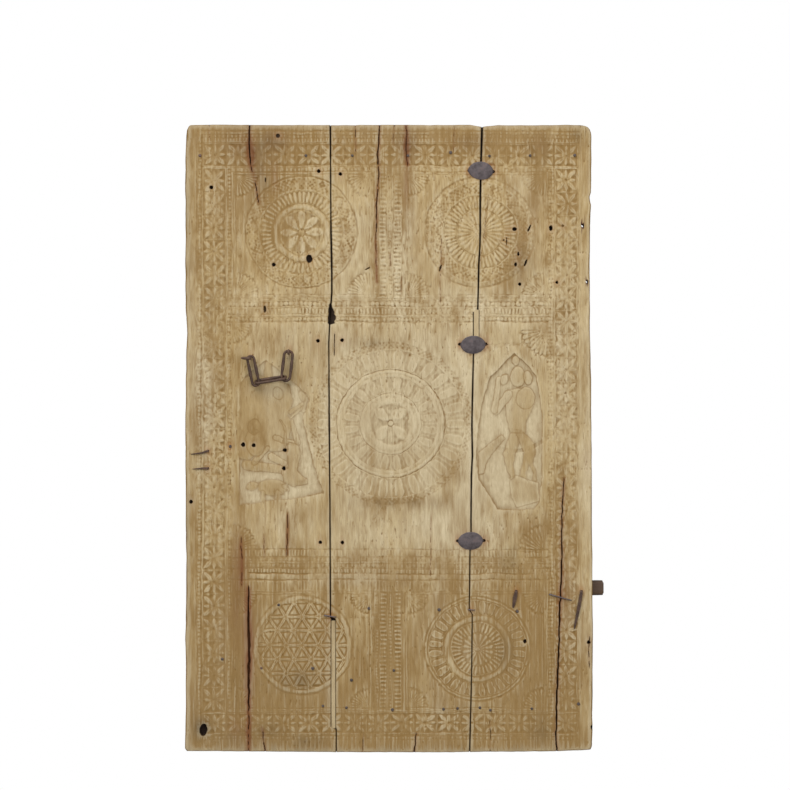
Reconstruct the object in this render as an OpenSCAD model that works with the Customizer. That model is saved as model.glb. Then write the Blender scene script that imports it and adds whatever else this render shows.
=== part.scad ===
// Old carved door leaf: three wide planks nailed to three battens, with forged
// clamps over one joint, clenched spikes, staples and a short pull chain.
// The origin is at the middle of the bottom edge, half way through the planks.
// +Z is up, +X is to the right and the carved face looks towards -Y.

/* [Door leaf] */
// Width over the three planks
door_w = 1182; // [985:1:1420]
// Height of the planks
door_h = 1820; // [1520:1:2190]
// Thickness of the planks
plank_t = 45; // [36:1:60]
// Open gap between two planks
joint_gap = 3.5; // [1.5:0.5:6]
// Radius of the worn corners
corner_r = 14; // [5:1:25]

/* [Joints between the planks] */
// Place of the left joint at the top
joint_a_x = -170; // [-190:1:-150]
// Place of the left joint at the foot
joint_a_foot_x = -153; // [-160:1:-148]
// Place of the right joint at the top
joint_b_x = 269; // [262:1:285]
// Place of the right joint under the upper repair strip
joint_b_mid_x = 245; // [240:1:250]
// Place of the right joint at the foot
joint_b_foot_x = 234; // [225:1:240]
// Width of the broken slot at the left joint
slot_w = 24; // [12:1:30]
// Height of the broken slot
slot_h = 60; // [40:1:80]

/* [Repair strips] */
// Width of the strip let into the right joint
upper_strip_w = 15; // [10:1:20]
// Height of the strip let into the right joint
upper_strip_h = 98; // [60:1:120]
// Width of the strip let into the left joint
lower_strip_w = 12; // [8:0.5:14]
// Height of the strip let into the left joint
lower_strip_h = 316; // [200:1:320]
// Clearance round a strip
strip_fit = 0.3; // [0.1:0.1:0.6]

/* [Battens] */
// Thickness of the battens
batten_t = 38; // [30:1:50]
// Height of the top batten
top_batten_h = 90; // [70:1:110]
// Height of the lower batten
lower_batten_h = 95; // [90:1:115]
// Height of the bottom batten
bottom_batten_h = 190; // [180:1:230]
// Setback of the batten ends from the plank edges
batten_setback = 26; // [10:1:40]
// Length of the worn batten end that stands out past the right edge
stub_l = 35; // [15:1:60]
// Height of the worn batten end
stub_h = 43; // [25:1:60]

/* [Carving] */
// Width of a carved groove
groove_w = 8; // [4:0.5:10]
// Depth of a carved groove
groove_d = 2.5; // [1:0.5:4]
// Depth of the two figure niches
niche_d = 4; // [2:0.5:6]
// Radius of the large middle rosette
middle_rosette_r = 208; // [180:1:225]
// Radius of the two upper rosettes
upper_rosette_r = 160; // [130:1:170]
// Radius of the two lower rosettes
lower_rosette_r = 146; // [120:1:155]

/* [Iron clamps] */
// Width of a clamp plate, from point to point
clamp_w = 74; // [60:1:90]
// Height of a clamp plate
clamp_h = 50; // [36:1:56]
// Thickness of a clamp plate
clamp_t = 4; // [2:0.5:6]
// Radius of a clamp prong
prong_r = 3; // [2:0.25:4]
// Length of a clamp prong in the wood
prong_l = 28; // [15:1:34]
// Radius of the holes left by lost clamps
lost_hole_r = 4.3; // [3:0.1:5]
// Distance between the two holes of a lost clamp
lost_hole_span = 66; // [56:1:76]

/* [Pull chain] */
// Diameter of the link wire
wire_d = 8.4; // [6.5:0.1:8.6]
// Outer length of the two hanging links
link_l = 95; // [85:1:115]
// Outer width of the left link
left_link_w = 27.6; // [27.2:0.1:32]
// Outer width of the right link
right_link_w = 33; // [32:0.5:40]
// Outer width of the middle link
middle_link_w = 30.4; // [30:0.1:34]
// Distance of the chain's middle plane from the carved face
chain_standoff = 17; // [16.5:0.5:24]
// Lean of the left link
left_link_lean = 12; // [6:1:13]
// Lean of the right link
right_link_lean = -7; // [-9:1:0]
// Roll of the middle link about its own length
middle_link_roll = 22; // [0:1:24]

/* [Spikes and nails] */
// Radius of a spike's shank
spike_r = 2.6; // [2:0.1:3]
// Radius of a spike's head at the back
spike_head_r = 8; // [5:0.5:10]
// Thickness of a clenched point on the carved face
clench_t = 4; // [2:0.5:6]
// Radius of a nail's shank
nail_r = 2.2; // [1.5:0.1:3]
// Radius of a nail's head
nail_head_r = 4.6; // [3.5:0.1:6]
// Height of a nail's head over the face
nail_head_t = 1.8; // [1:0.1:3]
// Depth of a nail in its batten
nail_grip = 24; // [15:1:28]
// Clearance round a shank in its hole
shank_fit = 0.2; // [0.05:0.05:0.3]

/* [Hidden] */
$fn = 64;

wood_tone = "BurlyWood";
dark_wood_tone = "DimGray";
iron_tone = "DarkSlateGray";
cut_over = 1;
hole_spare = 0.5;

half_w = door_w / 2;
face_y = -plank_t / 2;
back_y = plank_t / 2;
batten_back_y = back_y + batten_t;
wire_r = wire_d / 2;

// Heights of the main features
lower_strip_z = 0.0385 * door_h;
lower_strip_top = lower_strip_z + lower_strip_h;
upper_strip_z = 0.6515 * door_h;
upper_strip_top = upper_strip_z + upper_strip_h;
slot_z = 0.682 * door_h;
slot_shift = 4;
staple_a_z = lower_strip_top + 9;
step_b_z = 0.2275 * door_h;
top_batten_drop = 90;
top_batten_z = door_h - top_batten_drop;
lower_batten_z = 0.246 * door_h;
bottom_batten_z = 0.107 * door_h;
stub_drop = 2;
stub_z = lower_batten_z + lower_batten_h / 2 - stub_h / 2 - stub_drop;
clamp_z = [0.9265 * door_h, upper_strip_z - 4, 0.337 * door_h];
lost_z = [0.922 * door_h, 0.6555 * door_h, 0.3345 * door_h];
lost_x = [joint_a_x - 3, joint_a_x + 3, joint_a_x + 1];
prong_in = 3.5;
prong_x = clamp_w / 2 - prong_r - prong_in;

// Where the right joint steps sideways, a little above the foot and at its strip
step_b = 9;
step_b_x = joint_b_foot_x + 5;
strip_jog = 12;

function lerp(a, b, t) = a + (b - a) * t;

// Edges of the left joint, where the strip fills the wider part
function strip_a_x() = joint_a_foot_x - lower_strip_w / 2 - strip_fit - joint_gap / 2;
function left_plank_edge(z) =
    z < lower_strip_z ? joint_a_foot_x - joint_gap / 2
    : z < lower_strip_top ? strip_a_x() - lower_strip_w / 2 - strip_fit
    : joint_a_x - joint_gap / 2;
function centre_plank_left(z) =
    z < lower_strip_top ? joint_a_foot_x + (z < lower_strip_z ? joint_gap / 2 : -joint_gap / 2)
    : joint_a_x + joint_gap / 2;

// Middle of the right joint at height z, which leans and steps at the strip
function joint_b(z) =
    z > upper_strip_top ?
        lerp(joint_b_mid_x + strip_jog, joint_b_x, (z - upper_strip_top) / (door_h - upper_strip_top))
    : z > step_b_z ? lerp(joint_b_foot_x, joint_b_mid_x, (z - step_b_z) / (upper_strip_top - step_b_z))
    : lerp(joint_b_foot_x, step_b_x, z / step_b_z);
function centre_plank_right(z) = joint_b(z) - joint_gap / 2;
function right_plank_left(z) =
    z > upper_strip_z && z < upper_strip_top ? joint_b(upper_strip_z) + joint_gap / 2 + upper_strip_w
    : joint_b(z) + joint_gap / 2;

// The two edges of a plank, counted 0, 1, 2 from the left
function plank_left_edge(i, z) = i == 0 ? -half_w : i == 1 ? centre_plank_left(z) : right_plank_left(z);
function plank_right_edge(i, z) = i == 0 ? left_plank_edge(z) : i == 1 ? centre_plank_right(z) : half_w;
function across(i, share, z) = lerp(plank_left_edge(i, z), plank_right_edge(i, z), share);

// Nails: plank, share of the plank's width, height over the batten's middle
top_nails = [
    [0, 0.103, 0], [0, 0.835, 0], [1, 0.143, 0], [1, 0.516, 0],
    [1, 0.8, 9], [2, 0.07, -1], [2, 0.436, 0], [2, 0.837, 1]
];
lower_nails = [[0, 0.647, -20], [1, 0.274, -30], [1, 0.773, -34], [2, 0.375, -39]];
bottom_nails = [
    [0, 0.255, 76], [0, 0.522, 50], [0, 0.873, 49], [1, 0.118, 15], [1, 0.433, 43],
    [0, 0.943, -60], [1, 0.081, -65], [1, 0.424, -71], [1, 0.805, -69], [1, 0.91, -67],
    [2, 0.074, -65], [2, 0.16, -72], [2, 0.5, -68], [2, 0.882, -54]
];
stray_nail_in = 131;
stray_nail_z = 0.4875 * door_h;

// Old empty holes: plank, share of width, share of height, radius, depth
old_holes = [
    [0, 0.16, 0.9, 3, 20], [0, 0.86, 0.7865, 9, 16], [0, 0.61, 0.777, 3.5, 20],
    [0, 0.34, 0.49, 4, 20], [0, 0.415, 0.489, 4, 20], [0, 0.63, 0.481, 3.5, 20],
    [0, 0.62, 0.452, 3.5, 20], [0, 0.125, 0.035, 11, 22],
    [1, 0.69, 0.77, 4, 20], [2, 0.31, 0.833, 4, 20], [2, 0.44, 0.832, 4, 20],
    [2, 0.63, 0.835, 4, 20], [2, 0.36, 0.746, 3.5, 20], [2, 0.69, 0.748, 4, 20]
];
sight_holes = [[2, 0.915, 0.839, 3], [2, 0.95, 0.75, 3]];

// The long split that runs up the right plank from its foot
split_in = 105;
split_h = 0.43 * door_h;
split_w = 5;

// Carved rosettes: middle, left and right upper, left and right lower
rosette_zs = [0.5235 * door_h, 0.8287 * door_h, 0.1655 * door_h];
middle_rosette_x = 5;
left_rosette_x = -254;
right_rosette_x = 261;
border_in = [34, 118];
band_ring_z = [0.69, 0.715, 0.285, 0.315];

// Figure niches, drawn from the foot of each niche
niche_left_foot = [-432, 0.395 * door_h];
niche_right_foot = [380, 0.3875 * door_h];
niche_left_outline = [
    [0, 0], [238, 35], [183, 244], [200, 302], [174, 331],
    [125, 383], [72, 415], [20, 374], [0, 316]
];
niche_right_outline = [
    [-58, 0], [58, 5], [67, 229], [52, 359], [35, 403],
    [-15, 449], [-87, 388], [-104, 345], [-122, 171], [-122, 98]
];

// Clenched spikes: distance in from the plank edge and length of the bent point
edge_spike_in = 67;
edge_spike_z = [0.4803 * door_h, 0.4525 * door_h];
edge_clench_l = [52, 46];
edge_clench_turn = [169, 178];
long_spike_in = 33;
long_clench_l = 112;
short_spike_in = 222;
short_clench_l = 48;
batten_spike_z = lower_batten_z + 20;
clench_turn = -101;

// Staples: place, distance between the legs, length of a leg and size of the bar
split_staple_x = half_w - split_in + 7;
split_staple_z = lower_batten_z + 3;
split_staple_span = 66;
joint_staple_span = 30;
small_staple_span = 16;
staple_leg_l = 20;
staple_leg_r = 2.4;
staple_bar_h = 7;

// Pull chain, in the plane chain_y
chain_y = face_y - chain_standoff;
left_spike_x = -400;
left_spike_z = 0.627 * door_h;
right_spike_x = left_spike_x + 110;
right_spike_z = left_spike_z + 15;
chain_play = 0.3;
apex_rise = wire_r + spike_r + chain_play;
link_reach = link_l - wire_d;
// Wire centre of a crossing link, up from the bottom of a hanging link
cross_rise = wire_d + 1.5;
left_crown = 18;
right_crown = 9;
left_arm_l = 27;
right_arm_l = 12;
left_arm_turn = 176;
right_arm_turn = 90;
bend_r = 5;
// A point on a hanging link's centre line, s below its top wire
function along(spike_x, spike_z, lean, s) =
    [spike_x + (s - apex_rise) * sin(lean), spike_z - (s - apex_rise) * cos(lean)];
left_cross = along(left_spike_x, left_spike_z, left_link_lean, link_reach - cross_rise);
right_cross = along(right_spike_x, right_spike_z, right_link_lean, link_reach - cross_rise);
cross_vec = right_cross - left_cross;
middle_reach = norm(cross_vec);
middle_turn = atan2(cross_vec[1], cross_vec[0]);

// Places children on the carved face: local Z points out of the face
module on_face(x, z) {
    translate([x, face_y, z]) rotate([90, 0, 0]) children();
}

// A blind round hole in the carved face
module face_hole(x, z, r, depth) {
    on_face(x, z) translate([0, 0, -depth]) cylinder(r = r, h = depth + cut_over);
}

// A hole from the carved face right through everything behind it
module through_hole(x, z, r) {
    on_face(x, z)
        translate([0, 0, -plank_t - batten_t - cut_over])
            cylinder(r = r, h = plank_t + batten_t + 2 * cut_over);
}

module groove_profile() {
    polygon([
        [-groove_w / 2, cut_over], [-groove_w / 2, 0], [-groove_w / 4, -groove_d],
        [groove_w / 4, -groove_d], [groove_w / 2, 0], [groove_w / 2, cut_over]
    ]);
}

module ring_groove(x, z, r) {
    on_face(x, z) rotate_extrude() translate([r, 0]) groove_profile();
}

module upright_groove(x, z_low, z_high) {
    translate([x, face_y, z_low])
        linear_extrude(z_high - z_low)
            rotate(180) groove_profile();
}

module level_groove(z, x_low, x_high) {
    translate([x_low, face_y, z])
        rotate([0, 90, 0])
            linear_extrude(x_high - x_low)
                rotate(-180) groove_profile();
}

// Petals as shallow round-ended hollows round a hub
module petals(x, z, r_in, r_out, count, width) {
    for (i = [0 : count - 1])
        on_face(x, z) rotate([0, 0, i * 360 / count])
            translate([(r_in + r_out) / 2, 0, -groove_d])
                linear_extrude(groove_d + cut_over)
                    intersection() {
                        lens_r = ((r_out - r_in) * (r_out - r_in) / 4 + width * width / 4) / width;
                        translate([0, lens_r - width / 2]) circle(r = lens_r, $fn = 48);
                        translate([0, width / 2 - lens_r]) circle(r = lens_r, $fn = 48);
                    }
}

module rosette(x, z, r, petal_count) {
    for (share = [0.33, 0.58, 0.8, 1]) ring_groove(x, z, r * share - groove_w / 2);
    petals(x, z, 0.06 * r, 0.28 * r, petal_count, 0.14 * r);
}

module border_grooves() {
    for (inset = border_in) {
        for (side = [-1, 1])
            upright_groove(side * (half_w - inset), inset, door_h - inset);
        for (z = [inset, door_h - inset])
            level_groove(z, inset - half_w, half_w - inset);
    }
    for (share = band_ring_z)
        level_groove(share * door_h, border_in[1] - half_w, half_w - border_in[1]);
}

// Seated figure with a low animal at its feet, left standing in the niche
module seated_figure() {
    translate([75, 210]) circle(r = 20);
    translate([75, 150]) circle(r = 38);
    polygon([[30, 110], [150, 120], [160, 80], [25, 75]]);
    polygon([[25, 25], [130, 35], [140, 60], [120, 62], [110, 50], [40, 48]]);
}

// Standing figure with raised arms on a low base, left standing in the niche
module standing_figure() {
    translate([-8, 375]) circle(r = 22);
    polygon([
        [-32, 345], [20, 345], [8, 270], [26, 215], [22, 130],
        [30, 80], [-28, 80], [-30, 130], [-36, 215], [-20, 270]
    ]);
    polygon([[-32, 345], [-45, 385], [-30, 420], [-22, 415], [-34, 385], [-20, 345]]);
    polygon([[20, 345], [32, 385], [16, 420], [8, 415], [20, 385], [10, 345]]);
    polygon([[-45, 20], [40, 20], [32, 76], [-36, 76]]);
}

module niches() {
    on_face(niche_left_foot[0], niche_left_foot[1]) translate([0, 0, -niche_d])
        linear_extrude(niche_d + cut_over)
            difference() {
                polygon(niche_left_outline);
                seated_figure();
            }
    on_face(niche_right_foot[0], niche_right_foot[1]) translate([0, 0, -niche_d])
        linear_extrude(niche_d + cut_over)
            difference() {
                polygon(niche_right_outline);
                standing_figure();
            }
}

module carving() {
    rosette(middle_rosette_x, rosette_zs[0], middle_rosette_r, 8);
    rosette(left_rosette_x, rosette_zs[1], upper_rosette_r, 8);
    rosette(right_rosette_x, rosette_zs[1], upper_rosette_r, 8);
    rosette(left_rosette_x, rosette_zs[2], lower_rosette_r, 6);
    rosette(right_rosette_x, rosette_zs[2], lower_rosette_r, 8);
    border_grooves();
    niches();
}

// Shank holes of everything that is driven through the planks
module nail_holes(list, batten_z) {
    for (n = list) {
        z = batten_z + n[2];
        on_face(across(n[0], n[1], z), z)
            translate([0, 0, -plank_t - nail_grip])
                cylinder(r = nail_r + shank_fit, h = plank_t + nail_grip + cut_over);
    }
}

module driven_holes() {
    nail_holes(top_nails, top_batten_z);
    nail_holes(lower_nails, lower_batten_z);
    nail_holes(bottom_nails, bottom_batten_z);
    face_hole(stray_nail_in - half_w, stray_nail_z, nail_r + shank_fit, nail_grip);
    for (z = edge_spike_z) through_hole(edge_spike_in - half_w, z, spike_r + shank_fit);
    through_hole(left_spike_x, left_spike_z, spike_r + shank_fit);
    through_hole(right_spike_x, right_spike_z, spike_r + shank_fit);
    for (inset = [long_spike_in, short_spike_in])
        through_hole(half_w - inset, batten_spike_z, spike_r + shank_fit);
    for (z = clamp_z) for (side = [-1, 1])
        face_hole(joint_b(z) + side * prong_x, z, prong_r + shank_fit, prong_l);
    staple_holes(joint_a_x, staple_a_z, joint_staple_span);
    staple_holes(joint_b(step_b_z), step_b_z, small_staple_span);
    staple_holes(split_staple_x, split_staple_z, split_staple_span);
}

module empty_holes() {
    for (h = old_holes) {
        z = h[2] * door_h;
        face_hole(across(h[0], h[1], z), z, h[3], h[4]);
    }
    for (h = sight_holes) {
        z = h[2] * door_h;
        through_hole(across(h[0], h[1], z), z, h[3]);
    }
    for (i = [0 : 2]) for (side = [-1, 1])
        through_hole(lost_x[i] + side * lost_hole_span / 2, lost_z[i], lost_hole_r);
}

module staple_holes(x, z, span) {
    for (side = [-1, 1])
        face_hole(x + side * span / 2, z, staple_leg_r + shank_fit, staple_leg_l);
}

// Two legs in the wood joined by a bar on the face
module staple(x, z, span) {
    on_face(x, z) {
        translate([-span / 2 - staple_leg_r, -staple_bar_h / 2, 0])
            cube([span + 2 * staple_leg_r, staple_bar_h, clench_t]);
        for (side = [-1, 1])
            translate([side * span / 2, 0, -staple_leg_l]) cylinder(r = staple_leg_r, h = staple_leg_l);
    }
}

module plank_block(outline) {
    translate([0, back_y, 0]) rotate([90, 0, 0]) linear_extrude(plank_t) polygon(outline);
}

// Rounded corner of the leaf; sx and sz point outwards
module corner_cut(sx, z, sz) {
    translate([sx * (half_w - corner_r), 0, z - sz * corner_r])
        rotate([90, 0, 0])
            linear_extrude(plank_t + 2 * cut_over, center = true)
                difference() {
                    translate([sx > 0 ? 0 : -corner_r - cut_over, sz > 0 ? 0 : -corner_r - cut_over])
                        square(corner_r + cut_over);
                    circle(r = corner_r);
                }
}

module broken_slot() {
    translate([joint_a_x - slot_w / 2 + slot_shift, face_y - cut_over, slot_z])
        cube([slot_w, plank_t + 2 * cut_over, slot_h]);
}

module plank_left() {
    color(wood_tone) difference() {
        plank_block([
            [-half_w, 0],
            [left_plank_edge(0), 0],
            [left_plank_edge(0), lower_strip_z - strip_fit],
            [left_plank_edge(lower_strip_z), lower_strip_z - strip_fit],
            [left_plank_edge(lower_strip_z), lower_strip_top],
            [left_plank_edge(door_h), lower_strip_top],
            [left_plank_edge(door_h), door_h],
            [-half_w, door_h]
        ]);
        corner_cut(-1, door_h, 1);
        corner_cut(-1, 0, -1);
        broken_slot();
        carving();
        driven_holes();
        empty_holes();
    }
}

module plank_centre() {
    color(wood_tone) difference() {
        plank_block([
            [centre_plank_left(0), 0],
            [centre_plank_right(0), 0],
            [centre_plank_right(step_b_z), step_b_z],
            [joint_b(step_b_z + step_b) - joint_gap / 2, step_b_z + step_b],
            [centre_plank_right(upper_strip_top), upper_strip_top],
            [joint_b(upper_strip_top + 1) - joint_gap / 2, upper_strip_top + strip_fit],
            [centre_plank_right(door_h), door_h],
            [centre_plank_left(door_h), door_h],
            [centre_plank_left(door_h), lower_strip_top],
            [centre_plank_left(lower_strip_z), lower_strip_top],
            [centre_plank_left(lower_strip_z), lower_strip_z - strip_fit],
            [centre_plank_left(0), lower_strip_z - strip_fit]
        ]);
        broken_slot();
        carving();
        driven_holes();
        empty_holes();
    }
}

module right_split() {
    translate([half_w - split_in, back_y + cut_over, 0]) rotate([90, 0, 0])
        linear_extrude(plank_t + 2 * cut_over)
            polygon([
                [-split_w / 2, -cut_over], [split_w / 2, -cut_over],
                [split_w / 2 + 3, 0.4 * split_h], [split_w / 4 + 10, 0.6 * split_h],
                [18, split_h], [-split_w / 4 + 10, 0.6 * split_h], [-split_w / 2 + 4, 0.4 * split_h]
            ]);
}

module plank_right() {
    color(wood_tone) difference() {
        plank_block([
            [right_plank_left(0), 0],
            [half_w, 0],
            [half_w, door_h],
            [right_plank_left(door_h), door_h],
            [joint_b(upper_strip_top + 1) + joint_gap / 2, upper_strip_top + strip_fit],
            [right_plank_left(upper_strip_z + 1), upper_strip_top + strip_fit],
            [right_plank_left(upper_strip_z + 1), upper_strip_z - strip_fit],
            [right_plank_left(upper_strip_z), upper_strip_z - strip_fit],
            [joint_b(step_b_z + step_b) + joint_gap / 2, step_b_z + step_b],
            [right_plank_left(step_b_z), step_b_z]
        ]);
        corner_cut(1, door_h, 1);
        corner_cut(1, 0, -1);
        right_split();
        carving();
        driven_holes();
        empty_holes();
    }
}

module repair_strip_upper() {
    side = joint_b(upper_strip_top) - joint_gap / 2 + strip_fit;
    foot_side = joint_b(upper_strip_z) - joint_gap / 2 + strip_fit;
    far = right_plank_left(upper_strip_z + 1) - strip_fit;
    color(wood_tone) difference() {
        plank_block([
            [foot_side, upper_strip_z], [far, upper_strip_z],
            [far, upper_strip_top], [side, upper_strip_top]
        ]);
        carving();
        driven_holes();
    }
}

module repair_strip_lower() {
    x = strip_a_x();
    color(wood_tone) difference() {
        plank_block([
            [x - lower_strip_w / 2, lower_strip_z + lower_strip_w / 2],
            [x + lower_strip_w / 2, lower_strip_z],
            [x + lower_strip_w / 2, lower_strip_top - strip_fit],
            [x - lower_strip_w / 2, lower_strip_top - strip_fit]
        ]);
        carving();
        driven_holes();
    }
}

module batten(z, h) {
    translate([batten_setback - half_w, back_y, z - h / 2])
        cube([door_w - 2 * batten_setback, batten_t, h]);
}

module batten_top() {
    color(wood_tone) difference() {
        batten(top_batten_z, top_batten_h);
        driven_holes();
    }
}

module batten_lower() {
    color(dark_wood_tone) difference() {
        union() {
            batten(lower_batten_z, lower_batten_h);
            translate([half_w - batten_setback - cut_over, back_y, stub_z - stub_h / 2])
                cube([batten_setback + cut_over + stub_l, batten_t, stub_h]);
        }
        driven_holes();
        for (inset = [long_spike_in, short_spike_in])
            translate([half_w - inset, batten_back_y + cut_over, batten_spike_z])
                rotate([90, 0, 0])
                    cylinder(r = spike_head_r + shank_fit, h = cut_over + clench_t);
    }
}

module batten_bottom() {
    color(wood_tone) difference() {
        batten(bottom_batten_z, bottom_batten_h);
        driven_holes();
    }
}

// Lens-shaped iron plate over the right joint, with a prong behind each point
module joint_clamp(i) {
    z = clamp_z[i];
    side_r = (clamp_w * clamp_w / 4 + clamp_h * clamp_h / 4) / clamp_h;
    color(iron_tone) on_face(joint_b(z), z) {
        linear_extrude(clamp_t) intersection() {
            translate([0, side_r - clamp_h / 2]) circle(r = side_r, $fn = 96);
            translate([0, clamp_h / 2 - side_r]) circle(r = side_r, $fn = 96);
        }
        for (side = [-1, 1])
            translate([side * prong_x, 0, -prong_l]) cylinder(r = prong_r, h = prong_l);
    }
}

module joint_clamp_upper() { joint_clamp(0); }
module joint_clamp_middle() { joint_clamp(1); }
module joint_clamp_lower() { joint_clamp(2); }

// A closed link of round wire in the XZ plane: its top wire is at the origin
// and it hangs down, with the centre line reaching down by reach
module link(reach, outer_w) {
    side = outer_w / 2 - wire_r;
    translate([0, 0, -side])
        rotate([90, 0, 0]) rotate_extrude(angle = 180)
            translate([side, 0]) circle(r = wire_r, $fn = 32);
    translate([0, 0, side - reach])
        rotate([-90, 0, 0]) rotate_extrude(angle = 180)
            translate([side, 0]) circle(r = wire_r, $fn = 32);
    for (s = [-1, 1])
        translate([s * side, 0, side - reach])
            cylinder(r = wire_r, h = reach - 2 * side, $fn = 32);
}

module hanging_link(spike_x, spike_z, lean, outer_w) {
    top = along(spike_x, spike_z, lean, 0);
    color(iron_tone)
        translate([top[0], chain_y, top[1]])
            rotate([0, -lean, 0]) link(link_reach, outer_w);
}

module chain_link_left() {
    hanging_link(left_spike_x, left_spike_z, left_link_lean, left_link_w);
}

module chain_link_right() {
    hanging_link(right_spike_x, right_spike_z, right_link_lean, right_link_w);
}

module chain_link_middle() {
    color(iron_tone)
        translate([left_cross[0], chain_y, left_cross[1]])
            rotate([0, -middle_turn, 0])
                rotate([middle_link_roll, 0, 0])
                    rotate([0, 0, 90]) rotate([-90, 0, 0])
                        link(middle_reach, middle_link_w);
}

// Spike with its head on the back, a shank through the wood and a hooked end:
// turn is the direction of the hooked arm, seen from the front
module hook_spike(x, z, crown, arm_l, turn) {
    color(iron_tone) translate([x, 0, z]) {
        translate([0, back_y + clench_t, 0]) rotate([90, 0, 0])
            cylinder(r = spike_head_r, h = clench_t);
        translate([0, back_y, 0]) rotate([90, 0, 0])
            cylinder(r = spike_r, h = plank_t + chain_standoff + crown - bend_r);
        translate([0, chain_y - crown + bend_r, 0]) rotate([0, -turn, 0]) {
            translate([bend_r, 0, 0]) rotate([0, 0, 180])
                rotate_extrude(angle = 90)
                    translate([bend_r, 0]) circle(r = spike_r, $fn = 32);
            translate([bend_r, -bend_r, 0]) rotate([0, 90, 0])
                cylinder(r1 = spike_r, r2 = spike_r / 2, h = arm_l - bend_r);
        }
    }
}

module chain_spike_left() {
    hook_spike(left_spike_x, left_spike_z, left_crown, left_arm_l, left_arm_turn);
}

module chain_spike_right() {
    hook_spike(right_spike_x, right_spike_z, right_crown, right_arm_l, right_arm_turn);
}

// Spike driven from the back with its point bent over flat on the face
module clenched_spike(x, z, head_y, length, root_w, turn) {
    color(iron_tone) translate([x, 0, z]) {
        translate([0, head_y, 0]) rotate([90, 0, 0]) cylinder(r = spike_head_r, h = clench_t);
        translate([0, head_y - clench_t, 0]) rotate([90, 0, 0])
            cylinder(r = spike_r, h = head_y - clench_t - face_y);
        translate([0, face_y, 0]) rotate([90, 0, 0]) rotate([0, 0, turn])
            linear_extrude(clench_t)
                polygon([
                    [-spike_r, -root_w / 2], [length * 0.7, -root_w * 0.4],
                    [length, 0], [length * 0.7, root_w * 0.4], [-spike_r, root_w / 2]
                ]);
    }
}

module edge_spike_upper() {
    clenched_spike(edge_spike_in - half_w, edge_spike_z[0], back_y + clench_t,
        edge_clench_l[0], 9, -edge_clench_turn[0]);
}

module edge_spike_lower() {
    clenched_spike(edge_spike_in - half_w, edge_spike_z[1], back_y + clench_t,
        edge_clench_l[1], 9, -edge_clench_turn[1]);
}

module batten_spike_long() {
    clenched_spike(half_w - long_spike_in, batten_spike_z, batten_back_y, long_clench_l, 10, clench_turn);
}

module batten_spike_short() {
    clenched_spike(half_w - short_spike_in, batten_spike_z, batten_back_y, short_clench_l, 12, clench_turn);
}

module split_staple() {
    color(iron_tone) staple(split_staple_x, split_staple_z, split_staple_span);
}

module joint_staple_left() {
    color(iron_tone) staple(joint_a_x, staple_a_z, joint_staple_span);
}

module joint_staple_right() {
    color(iron_tone) staple(joint_b(step_b_z), step_b_z, small_staple_span);
}

// Forged nail with a low domed head on the face
module nail(x, z, shank_l) {
    on_face(x, z) rotate_extrude()
        polygon([
            [0, -shank_l], [nail_r, -shank_l], [nail_r, 0], [nail_head_r, 0],
            [nail_head_r * 0.8, nail_head_t * 0.7], [nail_head_r * 0.35, nail_head_t], [0, nail_head_t]
        ]);
}

module nail_row(list, batten_z) {
    color(iron_tone) for (n = list) {
        z = batten_z + n[2];
        nail(across(n[0], n[1], z), z, plank_t + nail_grip - hole_spare);
    }
}

module top_batten_nails() { nail_row(top_nails, top_batten_z); }
module lower_batten_nails() { nail_row(lower_nails, lower_batten_z); }
module bottom_batten_nails() { nail_row(bottom_nails, bottom_batten_z); }
module stray_nail() { color(iron_tone) nail(stray_nail_in - half_w, stray_nail_z, nail_grip - hole_spare); }

plank_left();
plank_centre();
plank_right();
repair_strip_upper();
repair_strip_lower();
batten_top();
batten_lower();
batten_bottom();
joint_clamp_upper();
joint_clamp_middle();
joint_clamp_lower();
chain_link_left();
chain_link_middle();
chain_link_right();
chain_spike_left();
chain_spike_right();
edge_spike_upper();
edge_spike_lower();
batten_spike_long();
batten_spike_short();
split_staple();
joint_staple_left();
joint_staple_right();
top_batten_nails();
lower_batten_nails();
bottom_batten_nails();
stray_nail();
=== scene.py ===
"""Looks of an old carved door leaf: three relief-carved planks, repairs, battens and forged ironwork."""

import math

import bmesh
import bpy
import numpy as np
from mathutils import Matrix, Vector


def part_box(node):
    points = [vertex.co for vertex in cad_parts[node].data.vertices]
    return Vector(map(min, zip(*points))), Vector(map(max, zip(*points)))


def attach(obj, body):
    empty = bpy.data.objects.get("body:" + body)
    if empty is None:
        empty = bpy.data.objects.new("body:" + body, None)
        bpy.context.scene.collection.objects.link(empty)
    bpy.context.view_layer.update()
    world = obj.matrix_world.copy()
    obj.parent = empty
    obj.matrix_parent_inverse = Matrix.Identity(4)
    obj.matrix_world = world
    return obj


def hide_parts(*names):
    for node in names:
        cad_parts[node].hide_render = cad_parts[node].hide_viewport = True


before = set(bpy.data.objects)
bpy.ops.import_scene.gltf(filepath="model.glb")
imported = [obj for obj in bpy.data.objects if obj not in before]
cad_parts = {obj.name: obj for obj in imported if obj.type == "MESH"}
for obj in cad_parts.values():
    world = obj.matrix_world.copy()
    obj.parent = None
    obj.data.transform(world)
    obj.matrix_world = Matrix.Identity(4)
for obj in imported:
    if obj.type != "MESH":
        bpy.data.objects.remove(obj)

bl_info = {
    "name": "Carved Door Leaf",
    "version": (1, 0, 0),
    "blender": (4, 5, 0),
    "location": "View3D > Sidebar > Door Leaf",
    "description": "Builds the carved planks, repairs, battens and ironwork of an old door leaf",
    "category": "Add Mesh",
}

MM = 0.001
LEAF = "door_leaf"
FACE_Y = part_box("plank_left")[0].y / MM
BACK_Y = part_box("plank_left")[1].y / MM
BATTEN_BACK_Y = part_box("batten_top")[1].y / MM
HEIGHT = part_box("plank_centre")[1].z / MM
PLANK_TRIANGLES = 192000
# Between two points of the carved face, in millimetres
FACE_STEP = 1.45
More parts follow.
